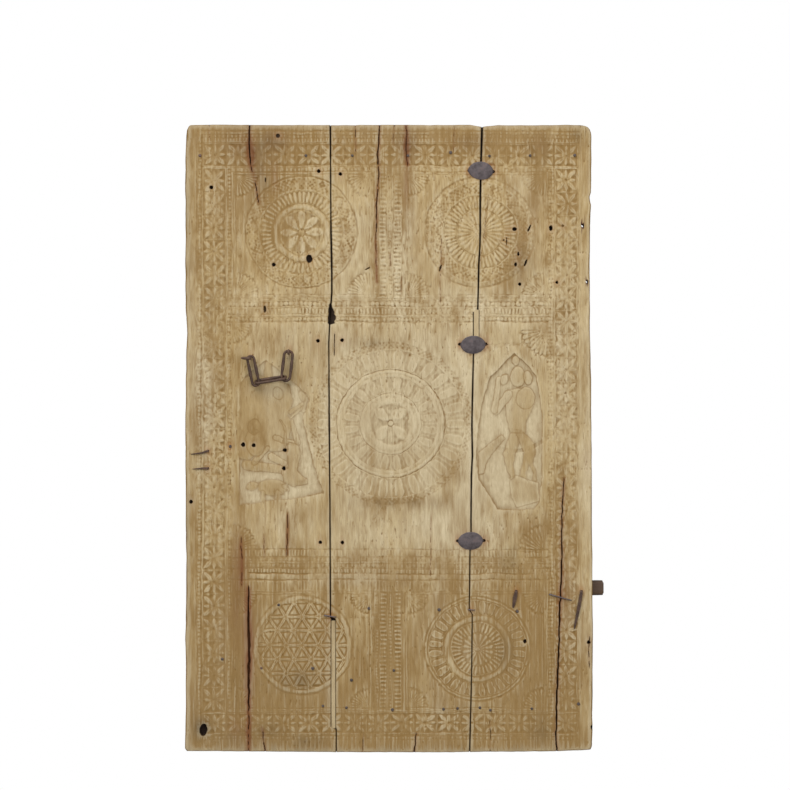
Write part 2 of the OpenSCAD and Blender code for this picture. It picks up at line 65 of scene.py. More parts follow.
# A cell of the plain back covers this many cells of the face each way
BACK_CELL = 8


# ---------------------------------------------------------------- numbers and noise


def linear(red, green, blue):
    """A colour given in screen values from 0 to 255, as the shader wants it."""
    return tuple(
        c / 255 / 12.92 if c <= 10.31 else ((c / 255 + 0.055) / 1.055) ** 2.4
        for c in (red, green, blue)
    )


def smooth_step(low, high, value):
    t = np.clip((value - low) / (high - low), 0, 1)
    return t * t * (3 - 2 * t)


def noise(x, z, cell_x, cell_z, seed):
    """Smooth noise from 0 to 1, with cells of the given size in millimetres."""
    size = 256
    table = np.random.default_rng(seed).random((size, size)).astype(np.float32)
    u = np.asarray(x, np.float32) / cell_x + 93.7
    v = np.asarray(z, np.float32) / cell_z + 41.3
    i = np.floor(u).astype(np.int32)
    j = np.floor(v).astype(np.int32)
    fu = u - i
    fv = v - j
    fu = fu * fu * (3 - 2 * fu)
    fv = fv * fv * (3 - 2 * fv)
    i0, i1 = i % size, (i + 1) % size
    j0, j1 = j % size, (j + 1) % size
    low, high = (table[i0, j] * (1 - fu) + table[i1, j] * fu for j in (j0, j1))
    return low * (1 - fv) + high * fv


def blurred(values, cells):
    """A box blur of a 2D array, run twice so that it is soft."""
    out = values.astype(np.float64)
    for _ in range(2):
        for axis in (0, 1):
            pad = [(0, 0), (0, 0)]
            pad[axis] = (cells + 1, cells)
            total = np.cumsum(np.pad(out, pad, mode="edge"), axis=axis)
            width = 2 * cells + 1
            count = out.shape[axis]
            first = np.take(total, range(0, count), axis=axis)
            last = np.take(total, range(width, width + count), axis=axis)
            out = (last - first) / width
    return out


# ---------------------------------------------------------------- the outline of the planks

# Edges as (height, place) from foot to head, in millimetres
LEFT_EDGE = [
    (0, -586), (8, -591), (90, -589.5), (150, -588.5), (325, -590.5), (430, -588), (557, -587.5),
    (640, -589.5), (731, -589), (820, -590), (934, -590.5), (1050, -589), (1166, -588), (1215, -585.5),
    (1238, -586), (1290, -589.5), (1427, -590.5), (1510, -589), (1560, -590.5), (1601, -589.5), (1640, -591),
    (1717, -590), (1790, -588), (1806, -586), (1816, -581), (1820, -576),
]
RIGHT_EDGE = [
    (0, 585), (10, 589), (70, 590.5), (93, 590), (210, 591), (325, 591), (450, 590), (557, 590), (640, 589),
    (803, 588.5), (900, 587.5), (1000, 586), (1079, 586), (1140, 584.5), (1224, 583), (1380, 582.5),
    (1499, 583), (1570, 585), (1589, 585.5), (1600, 583), (1612, 582), (1626, 586), (1717, 587), (1790, 587),
    (1801, 585.5), (1810, 582), (1816, 576), (1819, 568), (1820, 560),
]
JOINT_A = [
    (397, -169.5), (702, -171), (945, -173), (1189, -174.5), (1241, -172), (1302, -168), (1334, -165.5),
    (1420, -166), (1508, -168), (1660, -169), (1820, -170),
]
JOINT_B = [
    (0, 234), (100, 236.5), (241, 240), (400, 241.5), (412, 233.5), (423, 233), (586, 235), (610, 238),
    (702, 238), (800, 239), (860, 242), (945, 240.5), (1010, 241.5), (1157, 245),
]
JOINT_B_HEAD = [
    (1285, 257.5), (1350, 259), (1415, 260.5), (1470, 263.5), (1517, 264.5), (1600, 264.5), (1711, 266.5),
    (1770, 268.5), (1820, 270),
]
# Open width of each joint, as (height, width)
GAP_A = [
    (0, 2.2), (397, 2.8), (700, 3), (945, 3.4), (1189, 2.6), (1300, 3.6), (1480, 4.4), (1560, 3.4),
    (1700, 2.8), (1820, 4),
]
GAP_B = [
    (0, 2.6), (420, 2.2), (600, 3.2), (840, 4.2), (945, 3.6), (1157, 3), (1285, 3.4), (1420, 4), (1600, 4.4),
    (1820, 5.5),
]
# Foot and head of the planks from left to right, as (place, height), the head from the full height down
FOOT_LEVEL = [
    (-590, 3), (-575, 4), (-420, 3), (-330, 2), (-230, 1.5), (-156, 0.6), (-150, 0.4), (60, 0.3), (200, 0.2),
    (236, 1), (300, 1.5), (480, 3), (560, 6), (590, 9),
]
HEAD_LEVEL = [
    (-590, -2), (-540, -0.5), (-480, 0), (-430, -0.6), (-390, -1.4), (-300, -1.2), (-172, -1.4), (-165, -2),
    (0, -1), (110, -1.4), (190, -1), (235, -1), (252, -4), (268, -7), (285, -4), (320, -1.8), (420, -2),
    (520, -1), (560, -2), (590, -4),
]
STRIP_A = {"low": 70, "high": 383, "left": -167.2, "right": -155.2}
STRIP_B = {"low": 1187, "high": 1283, "left": 246, "right": 260.8}
FOOT_JOINT_A = -152.8


def along(pairs, where):
    """The value at a place between (place, value) pairs."""
    places, values = zip(*pairs)
    return np.interp(where, places, values)


def plank_edges(index, z):
    """Left and right edge of a plank at height z: 0 left, 1 centre, 2 right."""
    wobble = (noise(z * 0, z, 10, 34, 61 + index) - 0.5) * 1.6
    gap_a, gap_b = along(GAP_A, z) / 2, along(GAP_B, z) / 2
    ragged = 0.75 + 0.5 * noise(z * 0, z, 10, 7, 64)
    torn = smooth_step(1240, 1246, z) * (1 - smooth_step(1296, 1303, z)) * ragged
    above = smooth_step(STRIP_A["high"] + 4, STRIP_A["high"] + 10, z)
    below = smooth_step(STRIP_A["low"] - 5, STRIP_A["low"] + 4, z)
    joint_a = along(JOINT_A, z)
    if index == 0:
        strip_side = STRIP_A["left"] - 0.8
        low_part = (FOOT_JOINT_A - gap_a) * (1 - below) + strip_side * below
        right = low_part * (1 - above) + (joint_a - gap_a - 4 * torn) * above
        return along(LEFT_EDGE, z) + wobble, right + wobble * 0.3
    joint_b = np.where(z > 1230, along(JOINT_B_HEAD, z), along(JOINT_B, z))
    if index == 1:
        strip_side = STRIP_A["right"] + 0.8
        low_part = (FOOT_JOINT_A + gap_a) * (1 - below) + strip_side * below
        left = low_part * (1 - above) + (joint_a + gap_a + 13 * torn * smooth_step(1302, 1262, z)) * above
        in_strip = smooth_step(1276, 1282, z)
        right = (along(JOINT_B, z) - gap_b) * (1 - in_strip) + (along(JOINT_B_HEAD, z) - gap_b) * in_strip
        right = np.where((z > 1157) & (z < 1279), STRIP_B["left"] - 2.2, right)
        return left + wobble * 0.3, right + wobble * 0.2
    strip_right = STRIP_B["right"] + 0.8
    in_strip = smooth_step(1182, 1186, z) * (1 - smooth_step(1284, 1288, z))
    left = (joint_b + gap_b) * (1 - in_strip) + strip_right * in_strip
    return left + wobble * 0.3, along(RIGHT_EDGE, z) + wobble


def joint_line(index, side, z):
    """Where two neighbours meet behind the open face of a joint: side 0 is a plank's left, 1 its right."""
    if (index, side) in ((0, 1), (1, 0)):
        strip = STRIP_A["left"] if index == 0 else STRIP_A["right"]
        low = np.where(z < STRIP_A["low"], FOOT_JOINT_A, strip)
        return np.where(z < STRIP_A["high"] + 2, low, along(JOINT_A, z))
    middle = np.where(z > 1284, along(JOINT_B_HEAD, z), along(JOINT_B, z))
    strip = STRIP_B["left"] if index == 1 else STRIP_B["right"]
    return np.where((z > STRIP_B["low"]) & (z < STRIP_B["high"]), strip, middle)


def plank_ends(index, x):
    """Foot and head of a plank across its width."""
    foot = along(FOOT_LEVEL, x) + (noise(x, x * 0, 16, 10, 71 + index) - 0.5) * 1.2
    head = HEIGHT + along(HEAD_LEVEL, x) + (noise(x, x * 0, 22, 10, 81 + index) - 0.5) * 1.2
    return np.maximum(foot, 0.05), np.minimum(head, HEIGHT - 0.05)


# ---------------------------------------------------------------- relief carving


class Relief:
    """Depth below the carved face in millimetres, and layers of wear, grime, painted shade and painted
    highlight, on a plank's point grid.
    """

    LAYERS = ("depth", "stain", "pale", "dark", "rust", "red", "smooth", "kept")

    def __init__(self, x, z):
        self.x, self.z = x, z
        for layer in self.LAYERS:
            setattr(self, layer, np.zeros_like(x))
        self.rows = z.min(axis=1), z.max(axis=1)
        self.columns = x.min(axis=0), x.max(axis=0)

    def part(self, x0, x1, z0, z1, pad=0.0):
        """The part of the grid that this box covers, with its places; empty if the box misses the plank."""
        spans = []
        for (low, high), first, last in ((self.rows, z0, z1), (self.columns, x0, x1)):
            found = np.nonzero((high >= min(first, last) - pad) & (low <= max(first, last) + pad))[0]
            spans.append(slice(found[0], found[-1] + 1) if len(found) > 1 else slice(0, 0))
        at = tuple(spans)
        return at, self.x[at], self.z[at]

    def strip(self, x0, z0, x1, z1, pad):
        """The part round a straight line, the way along and across it, and whether a point is beside it."""
        at, x, z = self.part(x0, x1, z0, z1, pad)
        length = math.hypot(x1 - x0, z1 - z0)
        ux, uz = (x1 - x0) / length, (z1 - z0) / length
        run = (x - x0) * ux + (z - z0) * uz
        across = (z - z0) * ux - (x - x0) * uz
        return at, x, z, run, across, (run > 0) & (run < length)

    def disc(self, centre, reach):
        """The part round a centre, with the distance and the angle from it."""
        at, x, z = self.part(centre[0], centre[0], centre[1], centre[1], reach)
        dx, dz = x - centre[0], z - centre[1]
        return at, x, z, np.hypot(dx, dz), np.arctan2(dz, dx)

    def lift(self, layer, at, values):
        """Raises a layer to these values where it is lower."""
        whole = getattr(self, layer)
        whole[at] = np.maximum(whole[at], values)


def bell(distance, width):
    """1 in the middle, falling softly to 0 past this width."""
    return np.exp(-((distance / width) ** 2))


def inside_box(x, z, x0, x1, z0, z1, soft=1.5):
    return (
        smooth_step(x0 - soft, x0 + soft, x) * smooth_step(-x1 - soft, -x1 + soft, -x)
        * smooth_step(z0 - soft, z0 + soft, z) * smooth_step(-z1 - soft, -z1 + soft, -z)
    )


def leaf(u, v, start, end, width):
    """Height from 0 to 1 of a leaf that runs along u from start to end."""
    t = np.clip((u - start) / (end - start), 0, 1)
    half = width * np.sin(math.pi * t) ** 0.7 + 1e-4
    return np.clip(1 - (v / half) ** 2, 0, 1) * ((u > start) & (u < end))


def flower_tile(u, v):
    """Height from 0 to 1 of an eight-leaved flower in a square tile that runs from -1 to 1."""
    best = np.zeros_like(u)
    for step in range(8):
        c, s = math.cos(step * math.pi / 4), math.sin(step * math.pi / 4)
        reach, width = (1.26, 0.25) if step % 2 else (0.94, 0.19)
        across = v * c - u * s
        petal = leaf(u * c + v * s, across, 0.08, reach, width)
        best = np.maximum(best, petal * (1 - 0.4 * bell(across, 0.06)))
    rim = np.clip((np.maximum(abs(u), abs(v)) - 0.93) / 0.07, 0, 1)
    return np.maximum(best, 0.45 * rim)


def flower_band(relief, x0, x1, z0, z1, count, depth, upright):
    """A run of carved flower tiles between two plain fillets."""
    at, x, z = relief.part(x0, x1, z0, z1)
    if upright:
        u = (x - (x0 + x1) / 2) / ((x1 - x0) / 2)
        v = ((z - z0) / (z1 - z0) * count) % 1 * 2 - 1
    else:
        v = (z - (z0 + z1) / 2) / ((z1 - z0) / 2)
        u = ((x - x0) / (x1 - x0) * count) % 1 * 2 - 1
    wear = 0.25 + 0.6 * noise(x, z, 60, 90, 5) + 0.75 * noise(x, z, 8, 11, 6)
    relief.depth[at] += depth * (1 - flower_tile(u, v)) * wear * inside_box(x, z, x0, x1, z0, z1)
    relief.lift("kept", at, 0.33)


def groove(relief, x0, z0, x1, z1, width, depth):
    """A straight groove; a negative depth raises a fillet."""
    at, x, z, _, across, on_line = relief.strip(x0, z0, x1, z1, 2 * width)
    wear = 0.6 + 0.7 * noise(x, z, 45, 45, 9)
    relief.depth[at] += depth * wear * bell(across, width / 2) * on_line


def beads(relief, x0, z0, x1, z1, pitch, radius, depth):
    """A string of small round pearls in a sunk channel."""
    at, x, z, run, across, on_line = relief.strip(x0, z0, x1, z1, 2 * radius)
    step = ((run / pitch) % 1 - 0.5) * pitch
    pearl = np.clip(1 - (step**2 + across**2) / (0.5 * pitch) ** 2, 0, 1) ** 0.5
    channel = 1 - smooth_step(radius, radius + 2, abs(across))
    wear = 0.2 + 0.6 * noise(x, z, 40, 40, 13) + 0.6 * noise(x, z, 9, 12, 14)
    relief.depth[at] += depth * channel * (1 - pearl) * wear * on_line


def rungs(relief, x0, x1, z0, z1, pitch, depth, upright=True):
    """A ladder of short bars in a sunk strip."""
    at, x, z = relief.part(x0, x1, z0, z1)
    step = ((z - z0) if upright else (x - x0)) / pitch
    bar = 0.5 + 0.5 * np.cos(2 * math.pi * step)
    wear = 0.1 + 0.6 * noise(x, z, 50, 50, 17) + 0.7 * noise(x, z, 9, 14, 18)
    relief.depth[at] += depth * (1 - smooth_step(0.25, 0.8, bar)) * wear * inside_box(x, z, x0, x1, z0, z1, 1)


def ring(relief, centre, radius, width, depth):
    """A round groove; a negative depth raises a bead."""
    at, x, z, q, _ = relief.disc(centre, radius + 2 * width)
    wear = 0.65 + 0.6 * noise(x, z, 50, 50, 21)
    line = bell(q - radius, width / 2)
    relief.depth[at] += depth * wear * line
    relief.lift("kept", at, 0.4 * (line > 0.1))


def tongues(relief, centre, inner, outer, count, depth, fill=0.82, turn=0.0, rim=0.0):
    """A ring of round-ended tongues in sunk ground; a rim gives each a raised outline and a rib beside it."""
    at, x, z, q, a = relief.disc(centre, outer + 2)
    t = (q - inner) / (outer - inner)
    spread = abs(((a / (2 * math.pi) * count + turn) % 1) - 0.5) * 2
    end = np.sqrt(np.clip(1 - np.clip(abs(t - 0.5) * 2, 0, 1) ** 5, 0, 1))
    share = spread / (fill * end + 1e-3)
    body = np.clip(1 - share**2, 0, 1) ** 0.8
    band = ((t > 0) & (t < 1)).astype(float)
    if rim:
        line = bell(share - 0.8, 0.16) + 0.6 * bell(1 - spread, 0.1)
        body = np.clip(0.6 * np.clip(1 - share**4, 0, 1) + rim * line, 0, 1)
        # Raised outlines paler, rubbed wear with a painted highlight; the sunk ground between them a little
        # darker, grime and painted shade
        relief.pale[at] += rim * line * band
        relief.stain[at] += 0.12 * np.clip(1 - body - line, 0, 1) * band
    relief.lift("kept", at, 0.38 * band)
    wear = 0.45 + 0.4 * noise(x, z, 55, 55, 25) + 0.4 * noise(x, z, 13, 13, 26)
    relief.depth[at] += depth * (1 - body) * band * wear


def petals(relief, centre, inner, outer, count, width, depth, scoop, narrow=1.0):
    """Petals round a hub, each with a hollow down its middle; every second may be narrower, or missing."""
    at, _, _, q, a = relief.disc(centre, outer + 2)
    sector = 2 * math.pi / count
    height = np.zeros_like(q)
    for number, share in enumerate((1.0, narrow)):
        local = (a + number * sector) % (2 * sector) - sector
        u, v = q * np.cos(local), q * np.sin(local)
        t = np.clip((u - inner) / (outer - inner), 0, 1)
        half = width * share * np.sin(math.pi * t**1.6) ** 0.5 + 1e-3
        body = np.clip(1 - (v / half) ** 4, 0, 1) * ((u > inner) & (u < outer))
        hollow = scoop * bell(v, 0.55 * half + 0.5) * np.sin(math.pi * t)
        height = np.where(body > 0.1, body * (1 - hollow), height)
    disc = 1 - smooth_step(outer - 5, outer + 4, q)
    relief.depth[at] += depth * (1 - height) * disc
    relief.lift("kept", at, 0.45 * disc)
    # Raised petals painted paler: rubbed wear with a painted highlight
    relief.pale[at] += 0.35 * (height > 0.4)


def worn_ring(relief, centre, inner, outer, depth, seed):
    """A worn ring where only pits and stubs of the old pattern are left."""
    at, x, z, q, a = relief.disc(centre, outer)
    band = smooth_step(inner, inner + 4, q) * (1 - smooth_step(outer - 4, outer, q))
    pitch = 13
    count = int(math.pi * (inner + outer) / pitch)
    cells = 0.5 + 0.5 * np.cos(a * count) * np.cos(2 * math.pi * (q - inner) / pitch)
    pits = smooth_step(0.45, 0.8, 0.5 * cells + 0.5 * noise(x, z, 8, 9, seed))
    relief.depth[at] += depth * (0.2 + 0.65 * pits) * band
    relief.lift("kept", at, 0.35 * band)
    # Stained band, darker in its pits: grime and painted shade
    relief.stain[at] += (0.06 + 0.3 * pits) * band


def rosette(relief, centre, rings, tongue_rings=(), worn_rings=()):
    """Round grooves, rings of tongues and worn rings about one centre, each with its function's sizes."""
    for cut, sizes in ((ring, rings), (tongues, tongue_rings), (worn_ring, worn_rings)):
        for size in sizes:
            cut(relief, centre, *size)


def fan(relief, corner, side_x, side_z, radius, count, depth):
    """A quarter shell in a panel's corner; the sides say which way it opens."""
    at, x, z = relief.part(corner[0], corner[0] + side_x * radius, corner[1], corner[1] + side_z * radius)
    u, v = (x - corner[0]) * side_x, (z - corner[1]) * side_z
    q, a = np.hypot(u, v), np.arctan2(v, u)
    bulge = abs(np.sin(a * 2 * count))
    edge = radius * (0.94 + 0.06 * bulge)
    quarter = (u > 0) & (v > 0)
    wear = 0.6 + 0.7 * noise(x, z, 40, 40, 29)
    ribs = (1 - bulge**0.7) * smooth_step(6, 20, q) * (q < edge)
    relief.depth[at] += depth * (ribs + 0.8 * bell(q - edge, 3.2)) * quarter * wear


def lattice(relief, centre, radius, side, depth):
    """A round medallion of triangles between crossing ribs."""
    at, x, z, q, _ = relief.disc(centre, radius + 16)
    row = side * math.sqrt(3) / 2
    nearest = np.full_like(x, 1e3)
    for turn in (0, 60, 120):
        c, s = math.cos(math.radians(turn)), math.sin(math.radians(turn))
        d = (z - centre[1]) * c - (x - centre[0]) * s
        nearest = np.minimum(nearest, abs((d / row + 0.5) % 1 - 0.5) * row)
    rib = 1 - smooth_step(2.6, 4.2, nearest) - 0.55 * bell(nearest, 1.2)
    boss = 0.75 * smooth_step(5.5, 9.5, nearest)
    disc = 1 - smooth_step(radius - 2, radius + 1, q)
    wear = 0.75 + 0.5 * noise(x, z, 60, 60, 33)
    relief.depth[at] += depth * (1 - np.maximum(rib, boss)) * disc * wear
    relief.lift("kept", at, 0.36 * disc)
    rosette(relief, centre, ((radius + 6, 9, -0.15 * depth), (radius + 13, 5, 0.45 * depth)))


# Each of these three gives the distance to a shape, negative inside


def outline(x, z, points):
    best = np.full_like(x, 1e9)
    sign = np.ones_like(x)
    for (ax, az), (bx, bz) in zip(points, points[1:] + points[:1]):
        ex, ez = bx - ax, bz - az
        wx, wz = x - ax, z - az
        t = np.clip((wx * ex + wz * ez) / (ex * ex + ez * ez), 0, 1)
        best = np.minimum(best, (wx - ex * t) ** 2 + (wz - ez * t) ** 2)
        crosses = ((az > z) != (bz > z)) & (x < ex * (z - az) / (ez if ez else 1e-9) + ax)
        sign = np.where(crosses, -sign, sign)
    return np.sqrt(best) * sign


def limb(x, z, a, b, radius_a, radius_b):
    ex, ez = b[0] - a[0], b[1] - a[1]
    wx, wz = x - a[0], z - a[1]
    t = np.clip((wx * ex + wz * ez) / (ex * ex + ez * ez + 1e-6), 0, 1)
    return np.hypot(wx - ex * t, wz - ez * t) - (radius_a + (radius_b - radius_a) * t)


def ellipse(x, z, centre, rx, rz, tilt=0.0):
    c, s = math.cos(math.radians(tilt)), math.sin(math.radians(tilt))
    u = (x - centre[0]) * c + (z - centre[1]) * s
    v = (z - centre[1]) * c - (x - centre[0]) * s
    return (np.hypot(u / rx, v / rz) - 1) * min(rx, rz)


def niche(relief, frame_points, shapes, depth):
    """A shallow sunk panel with low figures; shapes are (share of the depth, kind of shape, its sizes)."""
    xs, zs = zip(*frame_points)
    at, x, z = relief.part(min(xs), max(xs), min(zs), max(zs), 6)
    bend = (noise(x, z, 15, 15, 37) - 0.5) * 4
    edge = outline(x, z, frame_points) + bend * 0.35
    floor = 1 - smooth_step(-1.6, 1.4, edge)
    body, line = np.zeros_like(x), bell(edge, 1.3)
    for share, shape, *sizes in shapes:
        d = shape(x, z, *sizes) + bend * 0.5
        rise = share * (0.72 * (1 - smooth_step(-2.2, 0.6, d)) + 0.28 * (1 - smooth_step(-14, -1, d)))
        body = np.where(d < 1, np.maximum(rise, 0.9 * body), body)
        line = np.maximum(line * (1 - 0.7 * (d < -2)), 0.8 * bell(d, 1.3) * (floor > 0.5))
    worn = 0.75 + 0.4 * noise(x, z, 30, 40, 38)
    ground = floor * (1 - np.clip(body * 1.4, 0, 1))
    relief.depth[at] += floor * depth * (1 - body) + 0.6 * line * worn
    relief.lift("smooth", at, 0.8 * floor)
    relief.pale[at] += 1.3 * ground * (0.85 + 0.3 * noise(x, z, 60, 80, 39))
    # The figures are stained a little darker, with a dark line along every outline: grime and painted shade
    # in the crease
    relief.stain[at] += 0.3 * floor * (body > 0.4) + 0.85 * line * worn


def crack(relief, points, depth, dark, red, halo, seed):
    """A split along (height, place, width) points, from foot to head, with reddish edges."""
    heights, places, widths = zip(*points)
    at, x, z = relief.part(min(places) - 30, max(places) + 30, heights[0], heights[-1])
    wander = (noise(z * 0, z, 10, 15, seed) - 0.5) * 3 + (noise(z * 0, z, 10, 60, seed + 1) - 0.5) * 4
    d = abs(x - np.interp(z, heights, places) - wander)
    width = 0.55 * np.interp(z, heights, widths) * (0.6 + 0.8 * noise(z * 0, z, 10, 15, seed + 2)) + 0.7
    broken = smooth_step(0.3, 0.55, noise(z * 0, z, 10, 11, seed + 5) + 0.3 * (width - 0.9))
    # A split that runs out at a plank's end doesn't close there
    ends = smooth_step(heights[0], heights[0] + 14, z) if heights[0] > 15 else 1.0
    ends = ends * (smooth_step(-heights[-1], -heights[-1] + 14, -z) if heights[-1] < HEIGHT - 15 else 1.0)
    open_part = (1 - smooth_step(0.3, 1.0, d / width)) * broken
    streaks = noise(x, z, 9, 40, seed + 3)
    edge = bell(d, width + 0.35 * halo) * (0.5 + 0.8 * streaks)
    relief.depth[at] += depth * (1 - smooth_step(0.1, 0.8, d / width)) * broken * ends
    relief.lift("dark", at, dark * open_part * ends)
    relief.lift("red", at, red * np.maximum(edge, open_part) * ends)
    relief.stain[at] += 0.6 * red * bell(d, halo) * ends * (0.4 + 0.9 * streaks)


def hole(relief, x0, z0, rx, rz, depth, tilt, rust, dark):
    """An old nail, knot or peg hole."""
    at, x, z = relief.part(x0, x0, z0, z0, 3 * max(rx, rz) + 16)
    d = ellipse(x, z, (x0, z0), rx, rz, tilt) + (noise(x, z, 4, 4, 43) - 0.5) * 1.4
    pit = 1 - smooth_step(-1.4, 0.6, d)
    outside = np.maximum(d, 0)
    relief.depth[at] += depth * pit
    relief.lift("dark", at, dark * (1 - smooth_step(-1.0, 1.2, d)))
    relief.stain[at] += 0.5 * bell(outside, 5) * (1 - pit)
    relief.rust[at] += rust * bell(outside, 9) * (1 - pit)


def blot(relief, layer, x0, z0, rx, rz, amount, seed):
    """A soft uneven patch in one paint layer."""
    at, x, z = relief.part(x0 - 2.4 * rx, x0 + 2.4 * rx, z0 - 2.4 * rz, z0 + 2.4 * rz)
    shape = np.exp(-(((x - x0) / rx) ** 2 + ((z - z0) / rz) ** 2))
    getattr(relief, layer)[at] += amount * shape * (0.45 + 1.1 * noise(x, z, 18, 46, seed + int(abs(x0))))


# ---------------------------------------------------------------- where the carving is

# (place, height) in millimetres from the middle of the door's foot; squares give their left and right side
LEFT_SQUARE = (-450, -50)
RIGHT_SQUARE = (48, 455)
UPPER_ROSETTES = ((-254, 1508), (263, 1508))
CENTRE_ROSETTE = (5, 953)
LOWER_ROSETTE = (257, 300)
MEDALLION = (-251, 311)
LEAF_OUTLINE = ((-72, 606), (-62, 650), (-20, 709), (14, 655), (24, 606))
LEFT_NICHE = [
    (-434, 716), (-192, 750), (-201, 781), (-225, 864), (-237, 905), (-248, 976), (-235, 1012), (-231, 1024),
    (-240, 1040), (-281, 1077), (-325, 1115), (-358, 1136), (-396, 1108), (-431, 1070), (-433, 900),
]
RIGHT_NICHE = [
    (363, 1154), (293, 1090), (269, 1004), (258, 929), (253, 866), (259, 797), (278, 762), (315, 706),
    (420, 706), (439, 728), (442, 803), (445, 935), (442, 992), (429, 1089), (398, 1124),
]
# Each shape of a figure as (share of the niche's depth, kind of shape, its sizes)
SEATED_FIGURE = [
    (0.85, outline, [
        (-434, 1076), (-388, 1098), (-290, 1068), (-278, 1018), (-296, 976), (-281, 958), (-290, 905),
        (-302, 876), (-337, 874), (-367, 880), (-408, 846), (-436, 856), (-436, 958),
    ]),
    (0.9, limb, (-412, 834), (-316, 821), 15, 12),
    (0.85, limb, (-390, 843), (-352, 884), 8, 7),
    (0.8, limb, (-341, 860), (-303, 838), 11, 9),
    (0.85, ellipse, (-388, 899), 27, 40, 10),
    (0.9, ellipse, (-390, 944), 18, 21),
    (0.9, limb, (-331, 915), (-301, 902), 7, 6),
    (0.85, limb, (-301, 902), (-275, 899), 6, 5),
    (0.85, limb, (-316, 965), (-299, 929), 3, 3),
    (0.85, limb, (-299, 929), (-301, 876), 3, 3),
]
ANIMAL = [
    (0.85, ellipse, (-398, 771), 18, 13, 12),
    (0.95, ellipse, (-340, 767), 43, 24),
    (0.75, limb, (-366, 752), (-364, 728), 8, 6),
    (0.75, limb, (-322, 752), (-322, 731), 9, 7),
    (0.6, limb, (-305, 772), (-292, 762), 5, 3),
]
TALL_FIGURE = [
    (0.95, outline, [
        (-290, 900), (-266, 894), (-257, 861), (-263, 817), (-236, 794), (-236, 780), (-278, 772),
        (-304, 784), (-311, 817), (-290, 826), (-294, 870),
    ]),
    (0.85, limb, (-287, 988), (-250, 1010), 6, 5),
    (0.75, limb, (-284, 972), (-249, 1002), 4, 4),
    (0.8, ellipse, (-251, 1033), 10, 17, 25),
    (0.7, limb, (-247, 990), (-238, 1030), 4, 3),
    (0.85, limb, (-352, 1126), (-352, 1082), 9, 12),
    (0.7, ellipse, (-322, 1042), 15, 19, 20),
    (0.6, limb, (-282, 960), (-266, 900), 7, 8),
]
STANDING_FIGURE = [
    (0.7, outline, [
        (260, 869), (297, 900), (326, 922), (335, 910), (307, 875), (288, 847), (275, 809), (260, 803),
    ]),
    (0.5, outline, [(350, 796), (374, 802), (404, 790), (434, 782), (440, 728), (372, 712), (356, 740)]),
    (0.95, outline, [
        (357, 935), (338, 897), (330, 866), (338, 834), (351, 803), (355, 786), (367, 798), (362, 834),
        (365, 866), (374, 900), (382, 935),
    ]),
    (0.95, outline, [
        (376, 935), (398, 922), (420, 897), (425, 869), (417, 841), (426, 816), (429, 787), (418, 786),
        (417, 809), (407, 834), (398, 809), (404, 786), (381, 800), (388, 834), (390, 872), (379, 897),
        (368, 920),
    ]),
    (0.92, outline, [
        (335, 1048), (373, 1058), (412, 1050), (423, 1017), (411, 985), (398, 960), (395, 925), (351, 925),
        (344, 960), (338, 992),
    ]),
    (1.0, ellipse, (395, 1028), 29, 32),
    (0.95, limb, (345, 1039), (313, 992), 12, 10),
    (0.9, limb, (306, 994), (317, 1084), 9, 6),
    (0.85, ellipse, (333, 1082), 11, 16, -20),
    (1.0, ellipse, (372, 1088), 22, 29),
    (0.9, ellipse, (403, 1086), 14, 20, 15),
    (0.8, ellipse, (367, 1134), 10, 14),
]


def carve_borders(relief):
    for x0, x1 in ((-539, -474), (482, 546)):
        flower_band(relief, x0, x1, 118, 1692, 23, 2.3, True)
    for z0, z1 in ((1699, 1764), (55, 114)):
        flower_band(relief, -539, 546, z0, z1, 16, 2.3, False)
    for x in (-557, -545, -542, -471, 479, 549):
        groove(relief, x, 60, x, 1790, 3.2, 1.5)
    for z in (48, 52, 117, 1696, 1767, 1801):
        groove(relief, -545, z, 549, z, 3.2, 1.5)
    for x, z0, z1, *sizes in (
        (-549, 60, 1770, 4, 1.7), (-462, 118, 1692, 4.2, 1.9),
        (466, 118, 1692, 4.2, 1.9), (473, 118, 1692, 3, 1.3),
    ):
        beads(relief, x, z0, x, z1, 11, *sizes)
    for z, x0, x1, *sizes in (
        (1786, -545, 549, 12, 5, 2.0), (1688, -465, 465, 11, 4, 1.6), (42, -545, 549, 12, 4, 1.4),
    ):
        beads(relief, x0, z, x1, z, *sizes)
    rungs(relief, -540, 546, 1771, 1780, 9, 1.2, upright=False)


def carve_divider(relief, z0, z1):
    """The upright strip of ladders and ribs between two square panels."""
    for x0, x1 in ((-26, -9), (16, 34)):
        rungs(relief, x0, x1, z0, z1, 12, 1.9)
    for x in (-45, -30, -6, 13, 38):
        groove(relief, x, z0, x, z1, 3.2, 1.4)
    for x, *sizes in ((3, 10, 4.5, 1.5), (-37, 9, 3.2, 1.2)):
        beads(relief, x, z0, x, z1, *sizes)


def carve_square(relief, x0, x1, z0, z1, radius):
    """The double frame line of a square panel with a shell in each corner."""
    for a in (0, 7):
        for x in (x0 + a, x1 - a):
            groove(relief, x, z0, x, z1, 3, 1.1)
        for z in (z0 + a, z1 - a):
            groove(relief, x0, z, x1, z, 3, 1.1)
    for x, z, side_x, side_z in ((x0, z0, 1, 1), (x1, z0, -1, 1), (x0, z1, 1, -1), (x1, z1, -1, -1)):
        fan(relief, (x + 8 * side_x, z + 8 * side_z), side_x, side_z, radius, 9, 2.0)


def carve_squares(relief, z0, z1, left_shell, right_shell):
    carve_square(relief, *LEFT_SQUARE, z0, z1, left_shell)
    carve_square(relief, *RIGHT_SQUARE, z0, z1, right_shell)
    carve_divider(relief, z0, z1)


